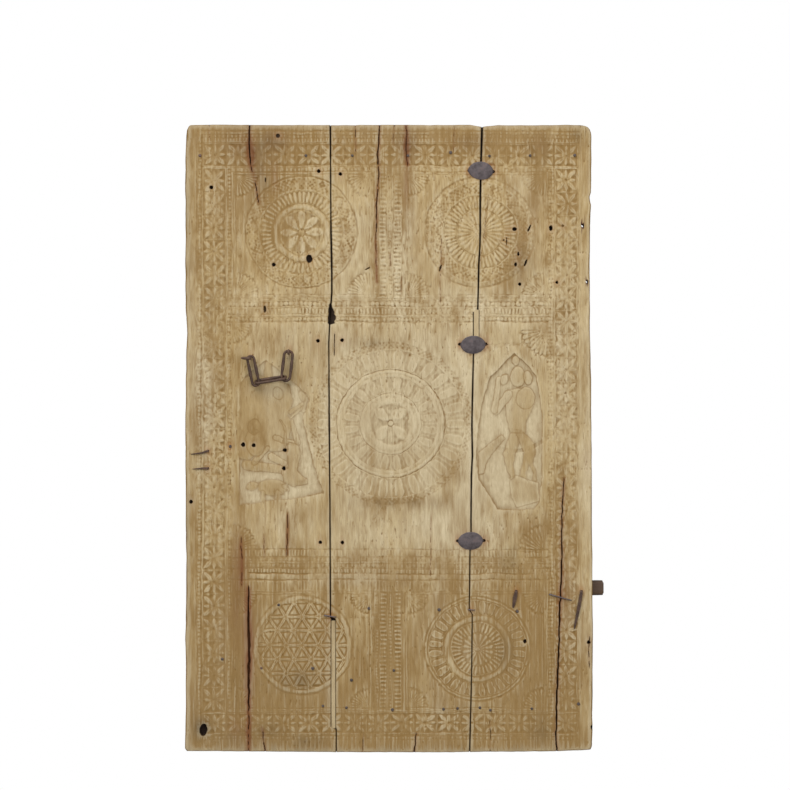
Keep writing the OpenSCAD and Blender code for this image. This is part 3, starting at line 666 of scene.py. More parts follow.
def carve_upper(relief):
    carve_squares(relief, 1320, 1682, 64, 60)
    left, right = UPPER_ROSETTES
    petals(relief, left, 12, 62, 8, 13.5, 2.0, 0.4)
    rosette(
        relief, left,
        rings=((11, 3, 1.6), (66, 4, 1.4), (75, 10, -0.8), (85, 5, 2.2), (121, 3.5, 1.6), (163, 5, 1.8)),
        tongue_rings=((88, 119, 52, 2.4, 0.8),),
        worn_rings=((123, 160, 2.2, 51),),
    )
    rosette(
        relief, right,
        rings=((68, 5, 2.2), (106, 3.5, 1.8), (160, 5, 1.7)),
        tongue_rings=((4, 65, 26, 1.7, 0.75), (71, 104, 50, 2.4, 0.8), (148, 158, 70, 1.0, 0.7)),
        worn_rings=((108, 146, 2.1, 53),),
    )


def carve_bands(relief):
    """The dentils and pearls between the panels."""
    for z in (1248, 1263, 1270, 1288, 1311, 1316):
        groove(relief, -465, z, 465, z, 3.4, 1.6)
    for z in (500, 533, 566, 588):
        groove(relief, -465, z, 465, z, 3.6, 1.9)
    groove(relief, -412, 518, 420, 518, 3, 2.8)
    for z, *sizes in ((1255, 11, 4.5, 2.0), (1300, 14, 7, 2.3), (558, 12, 4.5, 1.8), (542, 12, 5, 1.8)):
        beads(relief, -460, z, 460, z, *sizes)
    for sizes in ((1272, 1286, 10, 1.9), (569, 585, 9, 1.6), (519, 530, 9, 1.6), (470, 494, 9, 0.8)):
        rungs(relief, -460, 460, *sizes, upright=False)


def carve_middle(relief):
    petals(relief, CENTRE_ROSETTE, 10, 60, 8, 17, 2.1, 0.45, 0.0)
    rosette(
        relief, CENTRE_ROSETTE,
        rings=(
            (9, 3, 1.8), (70, 5, -0.5), (79, 2.6, 0.7), (89, 3, 2.0),
            (146, 3, 0.8), (151, 4, -0.6), (158, 3.6, 2.8),
        ),
        tongue_rings=((92, 136, 20, 1.4, 0.6, 0.0, 0.6), (162, 214, 26, 1.5, 0.6, 0.5, 0.6)),
        worn_rings=((214, 238, 1.8, 57),),
    )
    for start, end in zip(LEAF_OUTLINE, LEAF_OUTLINE[1:]):
        groove(relief, *start, *end, 3, 0.8)
    niche(relief, LEFT_NICHE, SEATED_FIGURE + ANIMAL + TALL_FIGURE, 2.4)
    niche(relief, RIGHT_NICHE, STANDING_FIGURE, 2.6)
    for x, z, *sizes in (
        (-452, 596, 1, 1, 66, 9, 2.3), (460, 1226, -1, -1, 78, 8, 1.9),
        (458, 580, -1, 1, 84, 9, 2.6), (-452, 1240, 1, -1, 54, 8, 1.4),
    ):
        fan(relief, (x, z), *sizes)
    tongues(relief, (360, 1030), 148, 160, 44, 0.7, 0.7)


def carve_lower(relief):
    carve_squares(relief, 122, 466, 56, 58)
    lattice(relief, MEDALLION, 131, 48, 2.8)
    rosette(
        relief, LOWER_ROSETTE,
        rings=((46, 4, 1.8), (80, 5, 1.7), (90, 8, -0.3), (99, 5, 1.7), (143, 5, 1.8), (152, 5, 1.6)),
        tongue_rings=((6, 44, 16, 1.8, 0.8), (48, 75, 36, 2.2, 0.8), (102, 139, 28, 2.4, 0.7, 0.0, 0.5)),
    )


CRACKS = [
    # ([(height, place, width), ...], depth, dark, red, halo)
    ([
        (1584, -377, 0.6), (1640, -386, 1.0), (1690, -399, 1.0), (1730, -403, 3.6), (1820, -404, 4.4),
    ], 10, 0.75, 0.75, 12),
    ([(1732, -98, 0.3), (1821, -98, 1)], 4, 0.3, 0.6, 6),
    ([
        (1490, -37, 0.4), (1582, -37, 1.0), (1682, -30, 1.2), (1727, -33, 2.6), (1821, -27, 2.6),
    ], 6, 0.8, 0.5, 6),
    ([
        (1353, -35, 0.2), (1476, -37, 1), (1582, -37, 1.6), (1682, -30, 1.4), (1727, -33, 2.6),
        (1821, -27, 2.6),
    ], 4, 0.3, 0.85, 8),
    ([(1398, 3, 0.4), (1453, 4, 0.8)], 2, 0.1, 0.35, 8),
    ([(1760, 14, 0.6), (1821, 15, 1.8)], 5, 0.6, 0.4, 7),
    ([(1693, 53, 0.6), (1745, 49, 3), (1800, 51, 2.4), (1821, 50, 0.6)], 4, 0.3, 1.0, 13),
    ([(1297, 149, 0.2), (1498, 151, 0.4)], 2, 0.15, 0.35, 6),
    ([(1320, 34, 0.2), (1386, 34, 0.6)], 2, 0.1, 0.3, 7),
    ([(1735, 187, 0.2), (1810, 188, 0.6)], 2, 0.15, 0.4, 6),
    ([
        (0, -409, 0.4), (60, -408, 0.6), (121, -408, 1.8), (190, -407, 8), (336, -406, 9), (430, -408, 4.5),
        (487, -408, 1.5),
    ], 13, 0.58, 1.2, 20),
    ([(475, -426, 0.8), (560, -426, 1.4), (629, -428, 0.4)], 5, 0.36, 0.8, 9),
    ([(563, -297, 1), (620, -295, 1.6), (702, -293, 0.6)], 5, 0.36, 0.8, 9),
    ([(0, -360, 3), (50, -366, 2.2), (80, -370, 0.8)], 6, 0.45, 0.9, 10),
    ([(0, 75, 3.4), (40, 77, 2.4), (64, 79, 0.8)], 8, 0.5, 0.8, 8),
    ([(0, 294, 1), (98, 294, 0.4)], 8, 0.9, 0.2, 5),
    ([
        (0, 486, 4), (60, 486, 4), (200, 489, 5), (380, 495, 4.5), (493, 499, 3.6), (620, 501, 2.2),
        (702, 503, 2), (805, 506, 0.8),
    ], 14, 0.8, 0.7, 11),
    ([(240, 580, 0.6), (300, 579, 1.6), (345, 580, 0.6)], 7, 0.7, 0.5, 7),
    ([(1145, -158, 0.6), (1225, -157, 1.4)], 7, 0.7, 0.4, 6),
    ([(505, 120, 0.2), (640, 122, 0.4), (700, 121, 0.2)], 2, 0.1, 0.4, 6),
    ([(1400, 262, 0.2), (1560, 284, 0.4), (1640, 290, 0.2)], 2, 0.1, 0.2, 6),
    ([(0, -76, 0.8), (60, -75, 0.2)], 5, 0.6, 0.3, 6),
    ([(1770, -520, 0.2), (1820, -521, 0.6)], 3, 0.3, 0.3, 6),
    ([(560, -362, 0.2), (640, -362, 0.6)], 2, 0.1, 0.4, 7),
]
HOLES = [
    # place, height, half width, half height, depth, tilt, rust, dark
    (-515, 1638, 5, 5, 16, 0, 0.1, 1), (-322, 1788, 6, 6, 4, 0, 0.4, 0.75), (-334, 1414, 5, 5, 12, 0, 0.1, 1),
    (-231, 1431, 8.5, 11.5, 14, 0, 0.2, 1), (-360, 1285, 4, 9, 8, 0, 0.2, 0.8),
    (364, 1517, 6, 5, 16, 0, 0.2, 1), (406, 1518, 10, 2.4, 10, 66, 0.1, 0.9),
    (469, 1520, 4.6, 7, 18, 0, 0.2, 1), (504, 1526, 4, 4, 3, 0, 0.2, 0.3), (379, 1357, 4, 4.4, 16, 0, 0.1, 1),
    (487, 1362, 3.6, 3.6, 16, 0, 0.3, 0.9), (367, 1414, 3.4, 5.5, 12, 0, 0.2, 1),
    (396, 1419, 9, 2.4, 9, 68, 0.1, 0.9), (375, 1445, 2.4, 5, 12, 0, 0.2, 1),
    (341, 1482, 1.4, 8, 7, 0, 0.1, 0.9), (333, 1485, 2.4, 1.6, 5, 0, 0.1, 0.9),
    (149, 1404, 9, 2.2, 8, 70, 0.1, 0.8), (-61, 1403, 8, 1.8, 6, 28, 0, 0.7),
    (-423, 892, 5.5, 6, 16, 0, 0.1, 1), (-392, 890, 5, 5, 14, 0, 0.1, 1), (-302, 876, 5.5, 5, 14, 0, 0.1, 1),
    (-305, 823, 5, 5.5, 14, 0, 0.1, 1), (-574, 726, 5, 5.5, 16, 0, 0.1, 1), (394, 322, 4.5, 5.5, 12, 0, 0, 1),
    (-538, 65, 10.5, 17.5, 20, -6, 0, 1), (579, 319, 5, 5, 12, 0, 0.1, 1), (589, 72, 4, 6, 12, 0, 0, 1),
    (371, 409, 3.5, 4, 9, 0, 0.1, 0.9), (-58, 417, 2.6, 4, 9, 0, 0, 0.9), (-358, 1658, 1.6, 6, 5, 0, 0, 0.7),
    (-204, 1685, 4.6, 4.6, 18, 0, 0.25, 1), (-141, 1677, 4.6, 4.6, 18, 0, 0.25, 1),
    (-206, 1193, 4.6, 4.6, 18, 0, 0.25, 1), (-136, 1195, 4.6, 4.6, 18, 0, 0.25, 1),
    (232, 1687, 4, 4, 9, 0, 0.4, 0.9), (303, 1683, 4, 4, 9, 0, 0.4, 0.9), (205, 1183, 4, 4, 9, 0, 0.4, 0.9),
    (281, 1184, 3.6, 4, 9, 0, 0.4, 0.9), (199, 613, 4, 4, 9, 0, 0.4, 0.9), (276, 614, 4, 4, 9, 0, 0.4, 0.9),
    (-199, 609, 4.6, 4.6, 18, 0, 0.25, 1), (-135, 608, 4.6, 4.6, 18, 0, 0.25, 1),
]
SIGHT_HOLES = [(561.5, 1527, 4.4), (574, 1364.5, 3.8)]
CLAMPS = [(268.6, 1686.2), (245.2, 1181.7), (238.2, 613.3)]
BLOTS = {
    # layer: (seed, [(place, height, half width, half height, amount), ...])
    "stain": (3, [
        (-438, 290, 36, 330, 1.5), (-345, 1765, 60, 50, 1.4), (435, 1757, 40, 40, 0.4),
        (40, 150, 60, 50, 0.4), (435, 62, 40, 40, 0.4), (435, 1250, 30, 60, 0.4), (-438, 1180, 24, 560, 0.3),
        (-438, 1670, 44, 120, 1.0), (435, 290, 40, 270, 0.85), (435, 1660, 40, 120, 0.8),
        (435, 850, 22, 130, 0.35), (340, 340, 50, 180, 0.6), (250, 1765, 330, 40, 0.8),
        (60, 1765, 190, 44, 1.1), (-210, 85, 320, 75, 0.6), (-480, 1765, 100, 40, 0.2),
        (-350, 1690, 100, 90, 0.8), (-330, 1560, 60, 130, 0.6), (-505, 1500, 60, 200, 0.2),
        (-300, 1765, 200, 50, 0.8), (-40, 1740, 60, 90, 0.7), (50, 1760, 14, 80, 1.2),
        (60, 1600, 20, 120, 0.5), (-333, 1560, 22, 120, 0.6), (-360, 1288, 14, 20, 1.3),
        (-343, 1193, 50, 45, 0.5), (-36, 1450, 18, 190, 0.6), (20, 1640, 30, 140, 0.4),
        (380, 1520, 16, 60, 0.5), (415, 1597, 14, 22, 0.9), (-398, 948, 9, 18, 0.8), (-370, 932, 7, 24, 0.8),
        (-386, 898, 14, 9, 0.7), (-384, 930, 24, 40, 0.3), (-370, 1065, 30, 40, 0.35),
        (40, 728, 150, 22, 0.7), (190, 810, 40, 50, 0.5), (0, 854, 80, 34, 0.3), (-60, 1186, 100, 22, 0.5),
        (-200, 770, 40, 40, 0.2), (430, 622, 40, 40, 0.8), (-428, 560, 40, 60, 0.55), (0, 300, 46, 180, 0.9),
        (0, 40, 620, 34, 0.55), (-280, 190, 130, 120, 0.55), (300, 200, 200, 150, 0.55),
        (-409, 300, 34, 210, 0.55), (508, 300, 30, 220, 0.6), (370, 1440, 60, 110, 0.5),
        (372, 440, 60, 70, 0.45), (-470, 1500, 18, 240, 0.3), (0, 545, 480, 34, 0.35),
        (0, 1280, 470, 30, 0.1), (100, 1420, 30, 220, 0.25), (-240, 1330, 60, 24, 0.2),
        (300, 1350, 90, 26, 0.25), (500, 600, 30, 120, 0.35), (-250, 300, 150, 150, 0.4),
        (-505, 140, 60, 120, 0.5), (515, 140, 60, 120, 0.5), (-230, 690, 70, 30, 0.3),
    ]),
    "dark": (31, [
        (-350, 1765, 54, 44, 0.22), (-440, 1765, 34, 50, 0.16), (-372, 1680, 34, 70, 0.2),
        (46, 1765, 34, 40, 0.2), (380, 1410, 30, 60, 0.22), (560, 1790, 40, 26, 0.2),
        (240, 1765, 50, 30, 0.12), (435, 1750, 40, 50, 0.14), (-440, 440, 24, 130, 0.06),
        (-440, 180, 24, 90, 0.06), (-545, 70, 34, 34, 0.36), (-240, 30, 60, 26, 0.2),
        (-440, 40, 60, 30, 0.15), (-260, 205, 70, 34, 0.22), (350, 560, 24, 50, 0.22),
        (-344, 60, 40, 30, 0.16), (440, 60, 30, 40, 0.24), (-590, 620, 14, 200, 0.22),
        (-590, 1500, 14, 260, 0.2), (339, 290, 24, 50, 0.2), (-60, 1186, 100, 14, 0.14),
        (40, 722, 130, 14, 0.18),
    ]),
    "pale": (11, [
        (-60, 1010, 200, 330, 0.5), (200, 1000, 190, 330, 0.6), (140, 640, 190, 90, 0.4),
        (330, 1300, 120, 60, 0.4), (40, 1480, 40, 200, 0.5), (-540, 1000, 40, 220, 0.6),
        (-177, 245, 8, 150, 1.3), (175, 655, 70, 60, 0.75), (145, 1100, 60, 120, 0.45),
        (-240, 1190, 90, 50, 0.3), (515, 1150, 50, 260, 0.5), (-110, 1180, 40, 60, 0.4),
        (140, 1510, 26, 110, 0.5), (-110, 1540, 40, 110, 0.3), (-320, 660, 110, 60, 0.4),
        (350, 660, 90, 40, 0.35), (230, 900, 20, 200, 0.4), (5, 953, 200, 200, 0.45), (145, 440, 26, 90, 0.5),
        # The pale patch at (-335, 1050) is painted light under the chain, lifting the chain's shadow there
        (-335, 1050, 64, 20, 0.9), (145, 120, 30, 80, 0.6), (533, 400, 24, 160, 0.45),
        (-148, 1430, 40, 60, 0.4), (-20, 1532, 60, 50, 0.4), (339, 1080, 26, 140, 0.4),
        (240, 745, 34, 30, 0.4), (-537, 1020, 30, 110, 0.35), (-400, 1320, 60, 40, 0.3),
        (-570, 1300, 16, 240, 0.4), (570, 900, 16, 400, 0.4), (430, 1600, 30, 50, 0.3),
        (-230, 860, 26, 110, 0.4), (330, 1010, 70, 90, 0.3), (0, 1306, 380, 40, 0.25),
        (-540, 1080, 34, 60, 0.4), (240, 288, 60, 50, 0.5), (-10, 1440, 60, 110, 0.4),
        (-100, 505, 200, 24, 0.4),
    ]),
    "red": (23, [
        (-350, 1770, 60, 34, 0.22), (-440, 1770, 34, 44, 0.2), (-370, 1670, 30, 70, 0.14),
        (46, 1770, 40, 34, 0.16), (240, 1770, 60, 26, 0.12), (435, 1760, 40, 34, 0.14),
        (-440, 440, 22, 130, 0.3), (-440, 60, 26, 60, 0.26), (51, 1745, 9, 55, 0.55),
        (-403, 1730, 13, 36, 1.2), (-433, 560, 22, 70, 0.35), (-330, 1665, 10, 40, 0.4),
        (50, 1640, 8, 60, 0.3), (508, 460, 18, 60, 0.35), (-409, 340, 14, 110, 0.3), (575, 840, 12, 40, 0.3),
    ]),
    "rust": (3, [
        (-524, 874, 9, 13, 0.6), (-524, 824, 9, 13, 0.6), (558, 468, 9, 13, 0.6), (369, 468, 9, 13, 0.6),
        (493, 451, 9, 13, 0.6), (-460, 887, 9, 13, 0.6), (-400, 1150, 9, 13, 0.6), (-290, 1164, 9, 13, 0.6),
        (-170, 395, 9, 13, 0.6), (239, 414, 9, 13, 0.6),
    ]),
}


def add_marks(relief):
    """Splits, holes, and the patches of brown stains, soot, bleaching, painted light and rust."""
    for number, (points, depth, dark, red, halo) in enumerate(CRACKS):
        crack(relief, points, depth, dark, red, halo, 101 + 4 * number)
    for sizes in HOLES:
        hole(relief, *sizes)
    for x0, z0 in CLAMPS:
        at, x, z = relief.part(x0 - 70, x0 + 70, z0 - 60, z0 + 60)
        gap = np.maximum(ellipse(x, z, (x0, z0), 37, 25), 0)
        relief.red[at] += 0.5 * bell(gap, 7) * (0.3 + noise(x, z, 11, 15, 63))
    for layer, (seed, blots) in BLOTS.items():
        for sizes in blots:
            blot(relief, layer, *sizes, seed)


def add_dirt(relief):
    """The uneven grime and bleaching of the whole face; the centre rosette and the niches stay cleaner."""
    x, z = relief.x, relief.z
    relief.stain += 0.5 * (1 - smooth_step(430, 640, z)) * (0.05 + noise(x, z, 50, 90, 65))
    relief.stain += 0.22 * smooth_step(1640, 1760, z) * (0.4 + noise(x, z, 40, 200, 66))
    relief.stain += 0.3 * (1 - smooth_step(20, 80, z)) * (0.3 + noise(x, z, 30, 60, 67))
    from_centre = np.hypot(x - CENTRE_ROSETTE[0], z - CENTRE_ROSETTE[1])
    clean_disc = 1 - smooth_step(222, 246, from_centre + 16 * noise(x, z, 20, 20, 95))
    plain = (1 - 0.7 * relief.smooth) * (1 - 0.55 * clean_disc)
    mottle = 0.6 * noise(x, z, 38, 85, 87) + 0.4 * noise(x, z, 14, 30, 88)
    fine = 0.6 * noise(x, z, 5, 8, 89) + 0.4 * noise(x, z, 11, 17, 98)
    relief.stain += 1.5 * plain * np.clip(mottle - 0.47, 0, 1) + 1.6 * plain * np.clip(fine - 0.52, 0, 1)
    relief.pale += 1.5 * plain * np.clip(0.46 - fine, 0, 1)
    dirty = smooth_step(0.35, 0.75, noise(x, z, 110, 130, 94)) + 1.1 * smooth_step(1600, 1740, z) + 0.3
    dirty += 0.8 * inside_box(x, z, 475, 550, -10, 850, 20)
    relief.stain += 0.95 * dirty * plain * smooth_step(0.68, 0.86, noise(x, z, 3.6, 4.4, 96))
    relief.stain += 0.1 * clean_disc
    relief.stain += 0.28 * smooth_step(-455, -500, x)
    relief.stain += 0.22 * smooth_step(470, 500, x) * smooth_step(560, 540, x)
    streak = noise(x, z, 9, 420, 68) * noise(x, z, 26, 700, 69)
    relief.stain += 0.5 * np.clip(streak - 0.33, 0, 1)
    relief.pale += 0.3 * smooth_step(0.55, 0.9, noise(x, z, 50, 210, 70))


def carved_face(x, z):
    """The whole carved face of one plank: the carving, worn down, then the grain, and the marks on top."""
    bend_x = 5 * (noise(x, z, 45, 70, 44) - 0.5) + 2.6 * (noise(x, z, 8, 11, 45) - 0.5)
    bend_z = 5 * (noise(x, z, 70, 45, 46) - 0.5) + 2.6 * (noise(x, z, 11, 8, 47) - 0.5)
    relief = Relief(x + bend_x, z + bend_z)
    for carve in (carve_borders, carve_upper, carve_bands, carve_middle, carve_lower):
        carve(relief)
    relief.x, relief.z = x, z
    worn = 0.2 + 0.42 * noise(x, z, 120, 190, 75)
    small = 0.35 * (noise(x, z, 24, 40, 76) - 0.5) + 0.4 * (noise(x, z, 7, 9, 74) - 0.5)
    worn += small * (1 - 0.9 * relief.smooth)
    relief.depth *= np.clip(worn, np.maximum(relief.kept, 0.08), 0.85)
    relief.depth = 0.72 * relief.depth + 0.28 * blurred(relief.depth, 1)
    grain = (noise(x + 6 * noise(x, z, 90, 300, 77), z, 3.4, 50, 78) - 0.5) * 0.5
    grain += (noise(x, z, 9, 70, 79) - 0.5) * 0.3 + (noise(x, z, 70, 320, 80) - 0.5) * 1.2
    relief.depth += 0.9 + grain * (1 - 0.6 * relief.smooth)
    pits = smooth_step(0.84, 0.95, noise(x, z, 3.2, 11, 81))
    pits *= smooth_step(0.35, 0.7, noise(x, z, 90, 120, 82))
    relief.depth += 0.8 * pits * (1 - relief.smooth)
    add_marks(relief)
    add_dirt(relief)
    return relief


# ---------------------------------------------------------------- meshes


def placed(name, data):
    """An object with this mesh, light or camera, in the scene."""
    obj = bpy.data.objects.new(name, data)
    bpy.context.collection.objects.link(obj)
    return obj


def mesh_object(name, points, faces):
    mesh = bpy.data.meshes.new(name)
    mesh.from_pydata(points, [], faces)
    mesh.validate()
    return placed(name, mesh)


def smooth_shade(mesh, degrees):
    mesh.shade_smooth()
    mesh.set_sharp_from_angle(angle=math.radians(degrees))


def applied(obj, kind, inputs=None, **settings):
    """The mesh that one modifier makes of an object, which is then removed."""
    modifier = obj.modifiers.new("shaping", kind)
    for name, value in settings.items():
        setattr(modifier, name, value)
    for name, value in (inputs or {}).items():
        modifier[name] = value
    obj.update_tag()
    mesh = bpy.data.meshes.new_from_object(obj.evaluated_get(bpy.context.evaluated_depsgraph_get()))
    bpy.data.objects.remove(obj)
    return mesh


def grid_mesh(name, points, quads, triangles):
    """A mesh from numpy arrays, quicker than lists for a dense plank."""
    mesh = bpy.data.meshes.new(name)
    mesh.vertices.add(len(points))
    mesh.vertices.foreach_set("co", points.astype(np.float32).ravel())
    corners = np.concatenate((quads.ravel(), triangles.ravel()))
    mesh.loops.add(len(corners))
    mesh.loops.foreach_set("vertex_index", corners.astype(np.int32))
    mesh.polygons.add(len(quads) + len(triangles))
    starts = np.concatenate((np.arange(len(quads)) * 4, len(quads) * 4 + np.arange(len(triangles)) * 3))
    mesh.polygons.foreach_set("loop_start", starts.astype(np.int32))
    mesh.update(calc_edges=True)
    mesh.validate()
    return mesh


def grid_quads(grid):
    """The four corner numbers of every cell in a grid of point numbers."""
    corners = (grid[:-1, :-1], grid[:-1, 1:], grid[1:, 1:], grid[1:, :-1])
    return np.column_stack([corner.ravel() for corner in corners])


def grid_rim(grid):
    """The point numbers round the rim of a grid."""
    return np.concatenate((grid[0, :-1], grid[:-1, -1], grid[-1, :0:-1], grid[:0:-1, 0]))


def colour_layer(mesh, name, colours):
    layer = mesh.attributes.new(name, "FLOAT_COLOR", "POINT")
    layer.data.foreach_set("color", np.clip(colours, 0, 1).astype(np.float32).ravel())


# ---------------------------------------------------------------- the planks


class Shell:
    """The points of a plank in millimetres, with two sets of four paint values, gathered patch by patch."""

    def __init__(self):
        self.points, self.wear, self.marks = [], [], []
        self.count = 0

    def add(self, x, y, z, wear, marks):
        """Adds a patch of points and returns their numbers, in the shape of x."""
        for store, columns in ((self.points, (x, y, z)), (self.wear, wear), (self.marks, marks)):
            store.append(np.column_stack([np.broadcast_to(column, x.shape).ravel() for column in columns]))
        numbers = self.count + np.arange(x.size).reshape(x.shape)
        self.count += x.size
        return numbers


def wear_edges(relief, index, left, right, foot, head):
    """Worn edges: rounder at the outside of the door, crisp at the joints, and dark in both."""
    x, z = relief.x, relief.z
    from_left, from_right, from_foot, from_head = x - left, right - x, z - foot, head - z
    rough = 0.6 + 0.9 * noise(x, z, 14, 40, 85)
    outer, inner = 5.0, 1.4
    at_left, at_right = (outer if index == 0 else inner), (outer if index == 2 else inner)
    for gap, reach in ((from_left, at_left), (from_right, at_right), (from_foot, 2.6), (from_head, 2.8)):
        reach = reach * rough
        relief.depth += 0.75 * reach * np.clip(1 - gap / reach, 0, 1) ** 2
    end_grain = bell(from_foot, 6) + bell(from_head, 7)
    joint = bell(from_left, 1.6) * (index != 0) + bell(from_right, 1.6) * (index != 2)
    relief.dark += 0.45 * joint * rough + 0.2 * end_grain * noise(x, z, 5, 12, 86)
    relief.stain += 0.35 * end_grain
    relief.stain += 0.5 * (bell(from_left, 4) * (index == 0) + bell(from_right, 4) * (index == 2))


def add_face(shell, relief):
    """The carved face: grime and painted shade in its hollows, rubbed wear and a painted highlight on its
    high places.
    """
    x, z = relief.x, relief.z
    depth = np.clip(relief.depth, 0.02, 30)
    shallow = np.minimum(depth, 3.2)
    hollow = np.clip((shallow - blurred(shallow, 5)) / 0.8, -1, 1)
    wide_hollow = np.clip((shallow - blurred(shallow, 14)) / 1.6, -1, 1)
    # Darker in the hollows and paler on the high places, worked out from the carving's depth: grime and
    # rubbed wear, with painted shade and painted highlight
    dirt_and_shade = 0.42 + 0.4 * hollow + 0.25 * wide_hollow
    high = 0.5 - 1.1 * hollow
    # Near the foot and the head the hollows are stained darker and the high places paler: grime and rubbed
    # wear, with painted shade and painted highlight
    grime_and_shading = 1 - smooth_step(430, 640, z) + 0.6 * smooth_step(1560, 1700, z)
    relief.stain += 0.75 * grime_and_shading * np.clip(hollow, 0, 1) * (0.5 + noise(x, z, 30, 40, 93))
    relief.pale += 0.5 * grime_and_shading * np.clip(-hollow, 0, 1)
    return shell.add(
        x, FACE_Y + depth, z,
        wear=(dirt_and_shade, relief.stain, relief.dark, relief.pale), marks=(relief.rust, 0.0, high, relief.red),
    )


def add_sides(shell, index, x, z, edge):
    """Rings of points from the face to the back: rough outside, and meeting the neighbour at a joint."""
    rows, columns = x.shape[0] - 1, x.shape[1] - 1
    edge_x, edge_z = x.ravel()[edge], z.ravel()[edge]
    around = np.arange(len(edge))
    upright = (abs(edge_x - x.min()) < 30) | (abs(edge_x - x.max()) < 30)
    push_x = np.where(upright & (edge_z > 3) & (edge_z < HEIGHT - 3), np.sign(x.mean() - edge_x), 0)
    push_z = np.where(push_x == 0, np.sign(HEIGHT / 2 - edge_z), 0)
    on_right = (around >= columns) & (around <= columns + rows)
    on_left = (around >= 2 * columns + rows) | (around == 0)
    at_joint, meeting = np.zeros(len(edge), bool), edge_x.copy()
    for side, on_side, clearance in ((0, on_left, 0.15), (1, on_right, -0.15)):
        if (index, side) not in ((0, 0), (2, 1)):
            meeting = np.where(on_side, joint_line(index, side, edge_z) + clearance, meeting)
            at_joint |= on_side
    rings = [edge]
    for level in (5, 12, 20, 29, 37, BACK_Y - FACE_Y - 1.4):
        deep = np.full(len(edge), level)
        amount = 0.3 + abs(noise(around * FACE_STEP, deep, 7, 9, 90 + index) - 0.5) * 0.9
        outside_x = edge_x + push_x * amount
        joint_x = edge_x + (meeting - edge_x) * smooth_step(3, 14, level)
        shade = 0.55 + 0.35 * noise(around * FACE_STEP, deep, 30, 30, 95)
        rings.append(shell.add(
            np.where(at_joint, joint_x, outside_x), FACE_Y + level, edge_z + push_z * amount,
            wear=(shade, 0.25, np.where(at_joint, 1.0, 0.12), 0.0),
            marks=(0.0, np.where(push_z != 0, 0.6, 0.2), 0.3, 0.0),
        ))
    quads = [np.column_stack((np.roll(upper, -1), upper, lower, np.roll(lower, -1)))
             for upper, lower in zip(rings, rings[1:])]
    return rings[-1], quads


def add_back(shell, index, x, z):
    """The plain sawn back, on a coarser grid than the face."""
    x, z = x[::BACK_CELL, ::BACK_CELL].copy(), z[::BACK_CELL, ::BACK_CELL].copy()
    chamfer = 1.2
    x[:, 0] += chamfer
    x[:, -1] -= chamfer
    z[0] += chamfer
    z[-1] -= chamfer
    bumps = (noise(x, z, 20, 160, 99 + index) - 0.5) * 1.2
    tone = noise(x, z, 40, 220, 97)
    return shell.add(
        x, BACK_Y - 0.4 - abs(bumps), z,
        wear=(0.35 + 0.3 * tone, 0.35 * tone + 0.2, 0.0, 0.2 * (1 - tone)),
        marks=(0.0, 0.35 + 0.3 * tone, 0.4, 0.0),
    )


def rim_fans(fine, coarse):
    """Triangles between a fine rim and a coarse one whose every point faces a whole cell of the fine one."""
    half = BACK_CELL // 2
    first = np.arange(len(coarse)) * BACK_CELL
    after = np.roll(coarse, -1)
    fans = []
    for step in range(BACK_CELL):
        start = first + step
        hub = coarse if step < half else after
        fans.append(np.column_stack((fine[(start + 1) % len(fine)], fine[start], hub)))
    fans.append(np.column_stack((fine[first + half], coarse, after)))
    return np.concatenate(fans)


def plank_mesh(index, name):
    """One plank, 0 left, 1 centre or 2 right, with its paint layers."""
    width = 412 if index == 1 else 420
    columns, rows = (max(2, round(side / FACE_STEP / BACK_CELL)) * BACK_CELL for side in (width, HEIGHT))
    s, t = np.meshgrid(np.linspace(0, 1, columns + 1), np.linspace(0, 1, rows + 1))
    left, right = plank_edges(index, t * HEIGHT)
    x = left + s * (right - left)
    foot, head = plank_ends(index, x)
    z = foot + t * (head - foot)
    relief = carved_face(x, z)
    wear_edges(relief, index, left, right, foot, head)

    shell = Shell()
    face = add_face(shell, relief)
    last_ring, side_quads = add_sides(shell, index, x, z, grid_rim(face))
    back = add_back(shell, index, x, z)
    back_quads = grid_quads(back)[:, [1, 0, 3, 2]]
    quads = np.concatenate([grid_quads(face), *side_quads, back_quads])
    mesh = grid_mesh(name, np.concatenate(shell.points) * MM, quads, rim_fans(last_ring, grid_rim(back)))
    # The wear layer: grime with painted shade, stains with painted shade, dark splits, bleaching with painted
    # highlight and light; the marks layer: rust, grey, high places for a painted highlight, red
    colour_layer(mesh, "wear", np.concatenate(shell.wear))
    colour_layer(mesh, "marks", np.concatenate(shell.marks))
    return mesh


def thinned(mesh, triangles):
    """The same mesh with no more than this many triangles."""
    count = sum(len(p.vertices) - 2 for p in mesh.polygons)
    if count <= triangles:
        return mesh
    share = triangles / count
    return applied(placed("thinning", mesh), "DECIMATE", ratio=share, use_collapse_triangulate=True)


def pierced(mesh, holes):
    """The same mesh with (place, height, radius) holes right through it, dark inside."""
    drills = []
    for x, z, radius in holes:
        circle = [(radius * (1 + 0.12 * math.sin(3 * a)) * math.cos(a), radius * math.sin(a))
                  for a in np.linspace(0, 2 * math.pi, 14, endpoint=False)]
        drills.append(swept([(x, y, z) for y in (-60, 0, 60)], [np.array(circle)] * 3, (0, 0, 1)))
    drill = joined("drill", drills)
    for name, colours in (("wear", (0.8, 0.6, 0.3, 0)), ("marks", (0, 0, 0, 0.2))):
        colour_layer(drill.data, name, np.tile(colours, (len(drill.data.vertices), 1)))
    plank = placed("piercing", mesh)
    fresh = applied(plank, "BOOLEAN", operation="DIFFERENCE", solver="MANIFOLD", object=drill)
    bpy.data.objects.remove(drill)
    return fresh


# ---------------------------------------------------------------- materials


